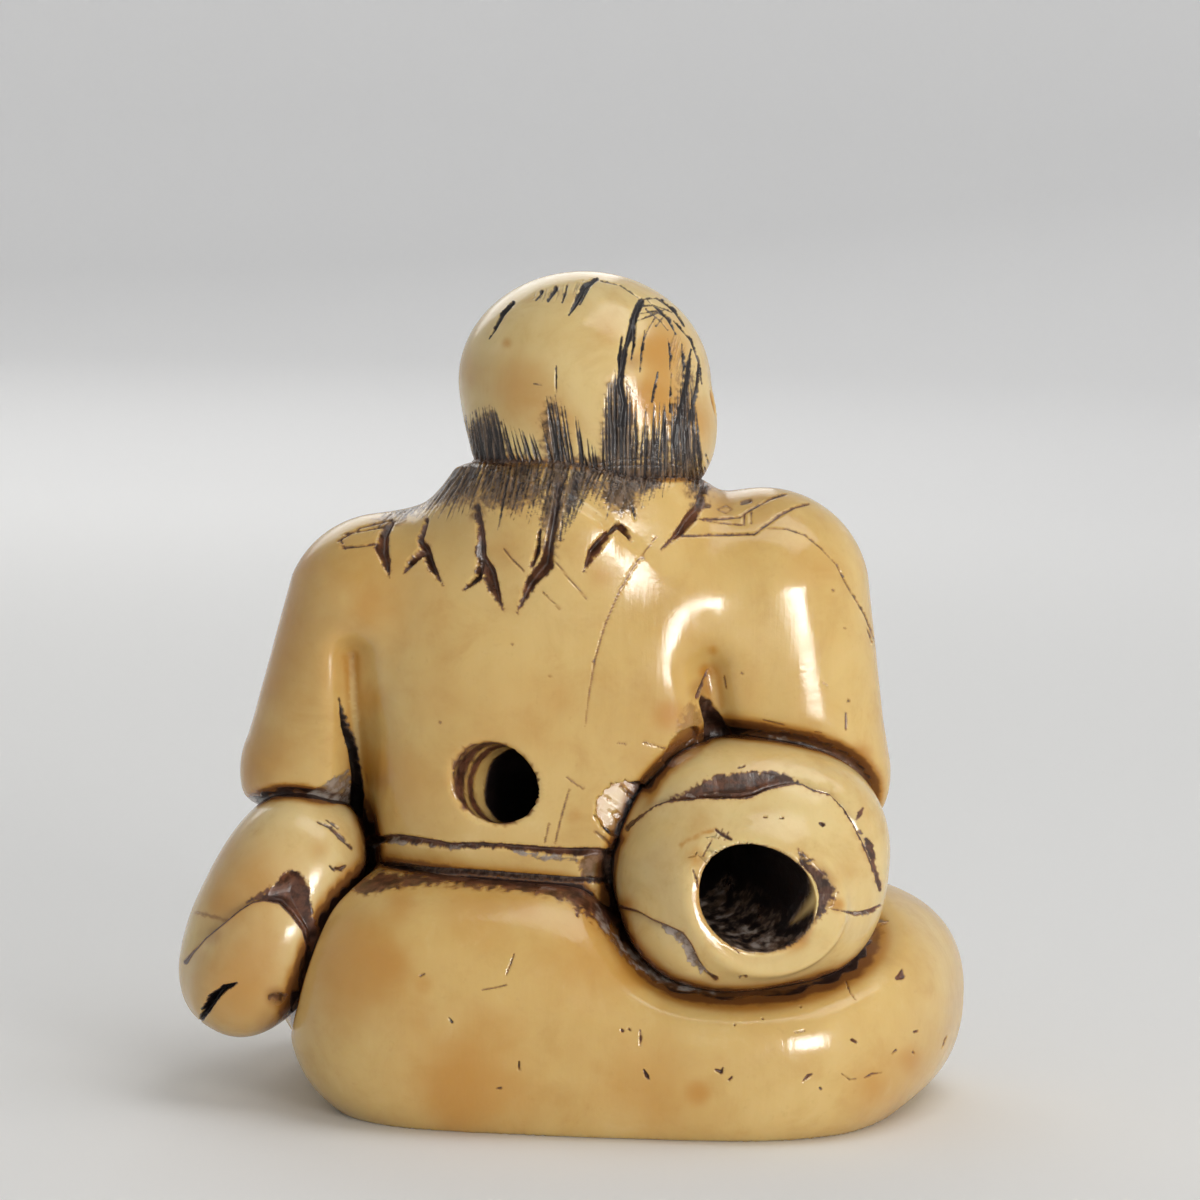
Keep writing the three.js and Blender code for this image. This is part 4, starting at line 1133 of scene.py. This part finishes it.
def skin(values):
    """Corners and faces of the sampled field's skin, one corner to each grid cell that it crosses."""
    shape = np.array(values.shape)
    cells = shape - 1
    count = np.zeros(cells.prod())
    sums = np.zeros((3, cells.prod()))
    quads = []
    for axis in range(3):
        b, c = (axis + 1) % 3, (axis + 2) % 3
        low = np.take(values, range(shape[axis] - 1), axis)
        high = np.take(values, range(1, shape[axis]), axis)
        index = np.argwhere((low < 0) != (high < 0))
        at = tuple(index.T)
        share = low[at] / (low[at] - high[at])
        place = index + share[:, None] * np.eye(3)[axis]
        around = []
        for db, dc in ((1, 1), (0, 1), (0, 0), (1, 0)):
            cell = index.copy()
            cell[:, b] -= db
            cell[:, c] -= dc
            inside = ((cell >= 0) & (cell < cells)).all(1)
            ids = np.ravel_multi_index(np.clip(cell, 0, cells - 1).T, cells)
            for k in range(3):
                sums[k] += np.bincount(ids[inside], place[inside, k], len(count))
            count += np.bincount(ids[inside], minlength=len(count))
            around.append(ids)
        around = np.stack(around, 1)
        outwards = (low[at] < 0)[:, None]
        quads.append(np.where(outwards, around, around[:, ::-1]))
    used = np.nonzero(count)[0]
    points = GRID_LOW + (sums[:, used] / count[used]).T * GRID_STEP
    renamed = np.full(len(count), -1)
    renamed[used] = np.arange(len(used))
    quads = renamed[np.concatenate(quads)]
    faces = np.concatenate([quads[:, [0, 1, 2]], quads[:, [0, 2, 3]]])
    return points.astype(F), faces


def slope(field, p, h=0.02):
    steps = np.eye(3, dtype=F) * F(h)
    return np.stack([field(p + s) - field(p - s) for s in steps], 1) / (2 * h)


def settled(field, p, rounds):
    """Points drawn on to the skin of the field, and the way out of it there."""
    for _ in range(rounds):
        g = slope(field, p)
        move = (field(p) / np.maximum((g * g).sum(1), 0.05))[:, None] * g
        length = np.sqrt((move * move).sum(1))[:, None]
        p = p - move * np.minimum(1, 0.35 / np.maximum(length, 1e-6))
    return p, g / np.maximum(np.sqrt((g * g).sum(1)), 1e-6)[:, None]


def refined(points, normals, faces, field, wanted):
    """Cut every edge that is longer than the length wanted there, in a few rounds."""
    for _ in range(6):
        pairs = np.sort(np.concatenate([faces[:, [0, 1]], faces[:, [1, 2]], faces[:, [2, 0]]]), 1)
        keys = pairs[:, 0] * len(points) + pairs[:, 1]
        unique, back = np.unique(keys, return_inverse=True)
        ends = np.stack([unique // len(points), unique % len(points)], 1)
        middle = (points[ends[:, 0]] + points[ends[:, 1]]) / 2
        length = np.sqrt(((points[ends[:, 0]] - points[ends[:, 1]]) ** 2).sum(1))
        cut = length > 1.42 * wanted(middle, normals[ends[:, 0]] + normals[ends[:, 1]])
        if not cut.any():
            break
        names = np.full(len(unique), -1)
        names[cut] = len(points) + np.arange(cut.sum())
        added, their_normals = settled(field, middle[cut], 1)
        points, normals = np.concatenate([points, added]), np.concatenate([normals, their_normals])
        mid = names[back].reshape(3, -1).T
        marks = mid >= 0
        made = [faces[marks.sum(1) == 0]]
        for turn in range(3):
            f, m = np.roll(faces, -turn, 1), np.roll(mid, -turn, 1)
            k = np.roll(marks, -turn, 1)
            one = k[:, 0] & ~k[:, 1] & ~k[:, 2]
            a, b, c, ab = f[one, 0], f[one, 1], f[one, 2], m[one, 0]
            made += [np.stack([a, ab, c], 1), np.stack([ab, b, c], 1)]
            two = k[:, 0] & k[:, 1] & ~k[:, 2]
            a, b, c, ab, bc = f[two, 0], f[two, 1], f[two, 2], m[two, 0], m[two, 1]
            made += [np.stack([ab, b, bc], 1), np.stack([a, ab, bc], 1), np.stack([a, bc, c], 1)]
        three = marks.all(1)
        a, b, c = faces[three].T
        ab, bc, ca = mid[three].T
        made += [np.stack(t, 1) for t in ((a, ab, ca), (ab, b, bc), (ca, bc, c), (ab, bc, ca))]
        faces = np.concatenate(made)
    return points, normals, faces


grids = {name: sampled(field) for name, field in FORMS.items()}
whole = np.minimum.reduce(list(grids.values()))


def hidden(name, p):
    """How deep points of one form lie inside the others."""
    others = np.minimum.reduce([values for other, values in grids.items() if other != name])
    return -read_grid(others, p)


def hollowness(p, n, reach):
    """How much of the space before the skin is filled, from 0 on open forms to 1 in a crevice."""
    closed = np.zeros(len(p), F)
    total = 0.0
    for i, share in enumerate((0.25, 0.5, 0.75, 1.0)):
        d = F(share * reach)
        weight = 0.6 ** i
        closed += weight * np.clip(d - read_grid(whole, p + n * d), 0, d) / d
        total += weight
    return closed / total


# How each drawing lies on its form: where a point falls on it, and how squarely it faces it


def over_back(p, n):
    return pixel(p), np.clip((-(n @ SIGHT.astype(F)) - 0.02) / 0.12, 0, 1)


def over_front(p, n):
    return (p[:, 0], p[:, 2]), np.clip((n[:, 1] - 0.15) / 0.25, 0, 1)


HEAD_AXES = turned(HEAD_TURN).astype(F)


def over_face(p, n):
    q, m = (p - np.array(HEAD_AT, F)) @ HEAD_AXES, n @ HEAD_AXES
    return (q[:, 0], q[:, 2]), np.clip((m[:, 1] - 0.2) / 0.2, 0, 1) * (q[:, 1] > 2.5)


def over_sides(p, n):
    q = (p - np.array(HEAD_AT, F)) @ HEAD_AXES
    not_back = 1 - over_back(p, n)[1]
    return (np.arctan2(q[:, 0], -q[:, 1]) * 5.7, q[:, 2]), not_back * np.clip((0.45 - n[:, 2]) / 0.2, 0, 1)


def bore_stains_and_shading(p, below):
    """Old drill rings in the two holes, painted shadow deep inside them, and a grey patch low on the large
    hole's wall that is partly dust, partly painted light, for points so far below the undrilled skin.
    """
    ink, brown, grey = (np.zeros(len(p), F) for _ in range(3))
    _, far, off = along_bore(p, SMALL_MOUTH)
    wall = np.clip((1.95 - off) / 0.12, 0, 1)
    t = far + 0.9 + 0.12 * noise(p, 0.5, 31)
    # Brown drill rings along the small hole; from about 3 mm in, full brown and black as painted shadow of
    # the deep tunnel
    rings = np.interp(t, [-0.3, 0.0, 0.35, 0.5, 0.62, 0.8, 1.25, 1.4, 1.5, 1.65, 2.1, 2.3, 2.9, 3.1, 4],
                      [0.0, 0.6, 0.95, 0.5, 0.9, 0.95, 0.9, 0.25, 0.35, 0.9, 0.95, 0.12, 0.15, 1.0, 1.0])
    brown += wall * rings.astype(F)
    ink += wall * np.interp(t, [-0.2, 0.4, 2.9, 3.2], [0.0, 0.35, 0.1, 1.0]).astype(F)
    q, _, off = along_bore(p, LARGE_MOUTH)
    inwards = np.maximum(np.clip((below - 0.1) / 0.25, 0, 1), (off < 2.36) * 0.7)
    wall = np.clip((2.42 - off) / 0.08, 0, 1) * inwards
    # Low on the large hole's wall, paler grey: partly dust, partly painted light where the lamp reaches
    low = np.clip(0.15 - q[:, 2] / 2.3 - 0.4 * q[:, 0] / 2.3, 0, 1)
    dust_and_lit_wall = low * np.clip(0.45 + 0.8 * noise(p, 0.35, 32) + 0.5 * noise(p, 0.16, 33), 0, 1)
    # The rest of that wall is painted black as shadow
    ink += wall * (0.95 - 0.7 * dust_and_lit_wall)
    brown += np.clip((2.42 - off) / 0.1, 0, 1) * np.clip((below - 0.05) / 0.1, 0, 1) * 0.8
    grey += wall * dust_and_lit_wall
    return ink, brown, grey


DRAWINGS = {
    "head": [(draw_head(), over_back), (draw_face(), over_face), (draw_side_hair(), over_sides)],
    "body": [(draw_body(), over_back), (draw_front(), over_front)],
    "lap": [(draw_lap(), over_back), (draw_front(), over_front)],
    "right_sleeve_end": [(draw_right_end(), over_back)],
    "left_sleeve_end": [(draw_left_end(), over_back)],
}


def build(name, back_edge, front_edge, finest=0.052):
    field, drawings = FORMS[name], DRAWINGS[name]
    points, faces = skin(grids[name])
    points, normals = settled(field, points, 3)

    def wanted(p, n):
        n = n / np.maximum(np.sqrt((n * n).sum(1)), 1e-6)[:, None]
        size = np.where(n @ SIGHT < 0.1, back_edge, front_edge)
        for drawing, over in drawings:
            (x, y), facing = over(p, n)
            close = finest + 0.4 * np.maximum(drawing.read(x, y)[1] - 0.02, 0)
            size = np.where(facing > 0.05, np.minimum(size, close), size)
        return np.where(hidden(name, p) > 0.45, 1.2, FINE * size)

    points, normals, faces = refined(points, normals, faces, field, wanted)
    points, normals = settled(field, points, 1)
    layers = np.zeros((len(points), len(Drawing.LAYERS)), F)
    for drawing, over in drawings:
        (x, y), facing = over(points, normals)
        drawn = drawing.read(x, y)[0] * facing[:, None].astype(F)
        layers = np.where(np.abs(drawn) > np.abs(layers), drawn, layers)
    hollow, crevice = hollowness(points, normals, 1.6), hollowness(points, normals, 0.5)
    in_hole = np.clip((0.08 - np.minimum(small_bore(points), large_bore(points))) / 0.1, 0, 1)
    below = np.zeros(len(points), F)
    drilled = in_hole > 0
    below[drilled] = -np.minimum.reduce([undrilled(points[drilled]) for undrilled in UNDRILLED.values()])
    points = points - normals * (layers[:, 0] * (1 - in_hole))[:, None]
    points[:, 2] = np.maximum(points[:, 2], 0)
    stains_and_shading = dict(zip(Drawing.LAYERS[1:], layers[:, 1:].T))
    for key, more in zip(("ink", "brown", "grey"), bore_stains_and_shading(points, below)):
        stains_and_shading[key] = np.clip(np.where(in_hole > 0.5, more, stains_and_shading[key]), 0, 1)
    # Skin inside the figure that only shows through the large hole, painted black as shadow
    past_mouth = points[:, 1] > LARGE_MOUTH[1] + 2.6
    shadowed_in_hole = (large_bore(points) < 1.4) & past_mouth & (hidden(name, points) > -0.1)
    stains_and_shading["ink"] = np.where(shadowed_in_hole, 0.97, stains_and_shading["ink"])
    mesh = bpy.data.meshes.new(name)
    mesh.from_pydata(to_model(points).tolist(), [], faces.tolist())
    mesh.shade_smooth()
    pale = np.full(len(points), {"body": 0.0, "lap": 0.1}.get(name, 0.9))
    for key, value in {"hollow": hollow, "crevice": crevice, "pale": pale, **stains_and_shading}.items():
        mesh.attributes.new(key, "FLOAT", "POINT").data.foreach_set("value", np.ascontiguousarray(value, F))
    piece = bpy.data.objects.new(name, mesh)
    bpy.context.scene.collection.objects.link(piece)
    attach(piece, "root")
    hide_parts("netsuke")
    return piece


pieces = [
    build("head", 0.14, 0.22),
    build("body", 0.24, 0.36, 0.081),
    build("lap", 0.22, 0.34),
    build("right_sleeve_end", 0.16, 0.3),
    build("left_sleeve_end", 0.16, 0.3),
]

# Ivory


class Nodes:
    def __init__(self, tree):
        self.tree = tree

    def node(self, kind, inputs=None, **settings):
        made = self.tree.nodes.new("ShaderNode" + kind)
        for key, value in settings.items():
            setattr(made, key, value)
        for key, value in (inputs or {}).items():
            if hasattr(value, "is_output"):
                self.tree.links.new(value, made.inputs[key])
            else:
                made.inputs[key].default_value = value
        return made

    def attribute(self, name):
        return self.node("Attribute", attribute_name=name).outputs["Fac"]

    def noise(self, where, scale, detail=3.0, roughness=0.55, distortion=0.0):
        inputs = {"Vector": where, "Scale": scale, "Detail": detail}
        inputs |= {"Roughness": roughness, "Distortion": distortion}
        return self.node("TexNoise", inputs).outputs["Fac"]

    def stretched(self, where, scale, turn=(0, 0, 0)):
        return self.node("Mapping", {"Vector": where, "Rotation": turn, "Scale": scale}).outputs[0]

    def math(self, operation, a, b=0.0, c=0.0):
        return self.node("Math", {0: a, 1: b, 2: c}, operation=operation).outputs[0]

    def about_middle(self, value, share):
        return self.math("MULTIPLY", self.math("SUBTRACT", value, 0.5), share)

    def spread(self, value, low, high, to_low=0.0, to_high=1.0):
        inputs = {"Value": value, "From Min": low, "From Max": high, "To Min": to_low, "To Max": to_high}
        return self.node("MapRange", inputs, interpolation_type="SMOOTHSTEP").outputs[0]

    def mix(self, share, a, b):
        mixed = self.node("Mix", data_type="RGBA")
        for key, value in ((0, share), (6, a), (7, b)):
            if hasattr(value, "is_output"):
                self.tree.links.new(value, mixed.inputs[key])
            else:
                mixed.inputs[key].default_value = (*value, 1) if key else value
        return mixed.outputs[2]


def srgb(*values):
    return tuple((v / 255 / 12.92) if v < 11 else ((v / 255 + 0.055) / 1.055) ** 2.4 for v in values)


# The ivory's colours, as a screen shows them
SHADES = {
    "cream": (218, 196, 142), "straw": (212, 186, 126), "honey": (212, 182, 118), "tan": (200, 164, 96),
    "grain": (190, 150, 82), "speck": (172, 134, 78), "ochre": (184, 142, 74), "worn": (226, 204, 152),
    "glow": (180, 126, 52), "amber": (184, 130, 52), "russet": (118, 72, 38), "crevice": (48, 30, 24),
    "light_brown": (150, 96, 40), "dark_brown": (58, 32, 20), "brown": (112, 70, 48),
    "dull_dust_and_lit_wall": (120, 98, 84), "dust_and_lit_wall": (178, 164, 152), "hair": (40, 28, 24),
    "worn_hair_and_sheen": (96, 80, 68), "ink": (27, 20, 19),
}


def ivory_material():
    shade = {name: srgb(*values) for name, values in SHADES.items()}
    material = bpy.data.materials.new("old_ivory")
    material.use_nodes = True
    tree = material.node_tree
    tree.nodes.clear()
    n = Nodes(tree)
    where = n.node("TexCoord").outputs["Object"]
    along = n.stretched(where, (1.0, 1.0, 0.22))
    hollow, crevice = n.attribute("hollow"), n.attribute("crevice")
    ink, brown, grey, amber = (n.attribute(key) for key in ("ink", "brown", "grey", "amber"))

    cloud = n.noise(where, 110, 3)
    grain = n.noise(along, 420, 4, 0.6)
    speck = n.noise(where, 2600, 2, 0.6)
    ragged = n.noise(where, 1500, 3, 0.65)
    pale = n.mix(n.spread(cloud, 0.3, 0.7), shade["cream"], shade["straw"])
    colour = n.mix(n.spread(cloud, 0.3, 0.7), shade["honey"], shade["tan"])
    colour = n.mix(n.attribute("pale"), colour, pale)
    colour = n.mix(n.spread(grain, 0.4, 0.9, 0, 0.4), colour, shade["grain"])
    colour = n.mix(n.spread(speck, 0.6, 0.85, 0, 0.2), colour, shade["speck"])
    mottled = n.noise(where, 420, 5, 0.62, 0.4)
    colour = n.mix(n.spread(mottled, 0.42, 0.8, 0, 0.5), colour, shade["ochre"])
    colour = n.mix(n.spread(mottled, 0.2, 0.42, 0.3, 0), colour, shade["worn"])
    # Warmer where other forms shut in the skin: partly the ivory's patina in its hollows, partly painted
    # shade
    glow = n.math("ADD", hollow, n.about_middle(cloud, 0.3))
    colour = n.mix(n.spread(glow, 0.08, 0.45, 0, 0.85), colour, shade["glow"])
    warm = n.math("MULTIPLY", amber, n.spread(cloud, 0.25, 0.75, 0.7, 1.15))
    colour = n.mix(n.spread(warm, 0.0, 1.0, 0, 0.85), colour, shade["amber"])
    # Darker where the forms meet and shut in the skin: partly dirt settled there, partly painted shade
    ragged_glow = n.math("ADD", hollow, n.about_middle(ragged, 0.35))
    colour = n.mix(n.spread(ragged_glow, 0.4, 0.66, 0, 0.85), colour, shade["russet"])
    dark = n.math("ADD", crevice, n.about_middle(ragged, 0.4))
    colour = n.mix(n.spread(dark, 0.48, 0.78), colour, shade["crevice"])
    colour = n.mix(n.spread(brown, 0.0, 0.45, 0, 0.45), colour, shade["light_brown"])
    deep_brown = n.mix(n.spread(ragged, 0.35, 0.65), shade["dark_brown"], shade["brown"])
    colour = n.mix(n.spread(brown, 0.35, 0.95), colour, deep_brown)
    # Grey dust, and the painted light low in the large hole
    dust_and_lit_wall = n.mix(n.spread(ragged, 0.4, 0.62), shade["dull_dust_and_lit_wall"], shade["dust_and_lit_wall"])
    dust_and_lit_wall_share = n.math("MULTIPLY", grey, n.spread(ragged, 0.3, 0.6, 0.6, 1.1))
    colour = n.mix(n.spread(dust_and_lit_wall_share, 0.25, 0.8), colour, dust_and_lit_wall)
    # Paler grey streaks through the hair: partly worn ink, partly painted sheen
    lines = n.noise(n.stretched(where, (1.0, 1.0, 0.12)), 5200, 2, 0.5)
    hair = n.mix(n.spread(lines, 0.42, 0.62), shade["hair"], shade["worn_hair_and_sheen"])
    # Near black where the ink layer is full: ink, and painted shadow in the holes
    hair = n.mix(n.spread(ink, 0.7, 0.92), hair, shade["ink"])
    colour = n.mix(n.spread(ink, 0.12, 0.8), colour, hair)

    grime_and_crevice_shade = n.math("MAXIMUM", grey, n.spread(dark, 0.45, 0.8))
    stain_and_shade = n.math("MAXIMUM", n.math("MAXIMUM", ink, brown), grime_and_crevice_shade)
    polish = n.spread(n.noise(where, 700, 4, 0.6), 0.3, 0.7, 0.12, 0.25)
    rough = n.math("ADD", polish, n.spread(stain_and_shade, 0.2, 1.0, 0, 0.16))
    scratches = n.noise(n.stretched(where, (1.0, 1.0, 0.08), (0.2, 0.5, 0.3)), 3800, 2, 0.5)
    pitted = n.math("MULTIPLY", n.noise(where, 3000, 4, 0.65), n.spread(stain_and_shade, 0.1, 0.9, 0.25, 1.6))
    fine = n.math("ADD", pitted, n.math("MULTIPLY", scratches, 0.3))
    bump = n.node("Bump", {"Strength": 0.35, "Distance": 0.00006, "Height": fine}).outputs[0]
    shader = n.node("BsdfPrincipled", {"Base Color": colour, "Roughness": rough, "Normal": bump, "IOR": 1.54,
                                       "Subsurface Weight": 0.3, "Subsurface Radius": (1.0, 0.55, 0.25),
                                       "Subsurface Scale": 0.0009})
    out = n.node("OutputMaterial")
    tree.links.new(shader.outputs[0], out.inputs[0])
    return material


ivory = ivory_material()
for piece in pieces:
    piece.data.materials.append(ivory)

# The table, the light and the camera


def paper():
    """Pale paper, a little lighter where it rises into the backdrop: painted light that makes up for less
    lamp light reaching it there.
    """
    material = bpy.data.materials.new("pale_paper")
    material.use_nodes = True
    shader = material.node_tree.nodes["Principled BSDF"]
    n = Nodes(material.node_tree)
    where = n.node("TexCoord").outputs["Object"]
    flat = n.stretched(where, (1.0, 1.0, 0.0))
    out = n.node("VectorMath", {0: flat}, operation="LENGTH").outputs["Value"]
    colour = n.mix(n.spread(out, 0.12, 0.5), (0.83, 0.83, 0.82), (0.97, 0.97, 0.97))
    material.node_tree.links.new(colour, shader.inputs["Base Color"])
    shader.inputs["Roughness"].default_value = 0.9
    shader.inputs["Specular IOR Level"].default_value = 0.1
    return material


def sweep():
    """A pale floor that curves up into a backdrop, all round."""
    profile = [
        (0.0, 0.0), (0.2, 0.0), (0.35, 0.0), (0.45, 0.012),
        (0.53, 0.05), (0.58, 0.12), (0.6, 0.22), (0.6, 0.5),
    ]
    steps = 96
    verts = [(0, 0, 0)]
    for r, z in profile[1:]:
        angles = [2 * math.pi * i / steps for i in range(steps)]
        verts += [(r * math.cos(a), r * math.sin(a), z) for a in angles]
    faces = [(0, 1 + i, 1 + (i + 1) % steps) for i in range(steps)]
    for ring in range(len(profile) - 2):
        a, b = 1 + ring * steps, 1 + (ring + 1) * steps
        faces += [(a + i, b + i, b + (i + 1) % steps, a + (i + 1) % steps) for i in range(steps)]
    mesh = bpy.data.meshes.new("floor")
    mesh.from_pydata(verts, [], faces)
    mesh.shade_smooth()
    floor = bpy.data.objects.new("floor", mesh)
    bpy.context.scene.collection.objects.link(floor)
    mesh.materials.append(paper())


sweep()


def softbox(name, at, size, watts, colour, aim=(0, 0, 0.018)):
    light = bpy.data.lights.new(name, "AREA")
    light.shape = "RECTANGLE"
    light.size, light.size_y = size
    light.energy = watts
    light.color = colour
    lamp = bpy.data.objects.new(name, light)
    lamp.location = at
    lamp.rotation_euler = (Vector(aim) - Vector(at)).to_track_quat("-Z", "Y").to_euler()
    bpy.context.scene.collection.objects.link(lamp)


# The photograph's side is +Y here, and its right is -X
softbox("key", (-0.2, 0.285, 0.05), (0.105, 0.075), 0.6, (1.0, 0.98, 0.95))
softbox("top", (-0.16, 0.06, 0.42), (0.3, 0.3), 0.66, (1.0, 0.99, 0.97))
softbox("front", (0.1, -0.35, 0.22), (0.3, 0.2), 0.3, (1.0, 0.99, 0.97))
world = bpy.data.worlds.new("studio")
world.use_nodes = True
world.node_tree.nodes["Background"].inputs["Color"].default_value = (0.95, 0.96, 0.98, 1)
world.node_tree.nodes["Background"].inputs["Strength"].default_value = 0.33
bpy.context.scene.world = world


def photo_camera():
    camera = bpy.data.cameras.new("camera")
    camera.sensor_width = 36
    camera.lens = 36 * SIGHT_DISTANCE / (2 * HALF_VIEW)
    camera.clip_start, camera.clip_end = 0.01, 5
    holder = bpy.data.objects.new("camera", camera)
    across = np.array([1.0, 0, 0])
    right = across * math.cos(SIGHT_ROLL) + RISE * math.sin(SIGHT_ROLL)
    up = RISE * math.cos(SIGHT_ROLL) - across * math.sin(SIGHT_ROLL)
    half_turn = np.array([-1.0, -1.0, 1.0])
    m = Matrix.Identity(4)
    for i, axis in enumerate((right, up, -SIGHT)):
        for j in range(3):
            m[j][i] = axis[j] * half_turn[j]
    m.translation = Vector(to_model(EYE))
    holder.matrix_world = m
    bpy.context.scene.collection.objects.link(holder)
    bpy.context.scene.camera = holder


photo_camera()
bpy.context.scene.view_settings.view_transform = "Standard"
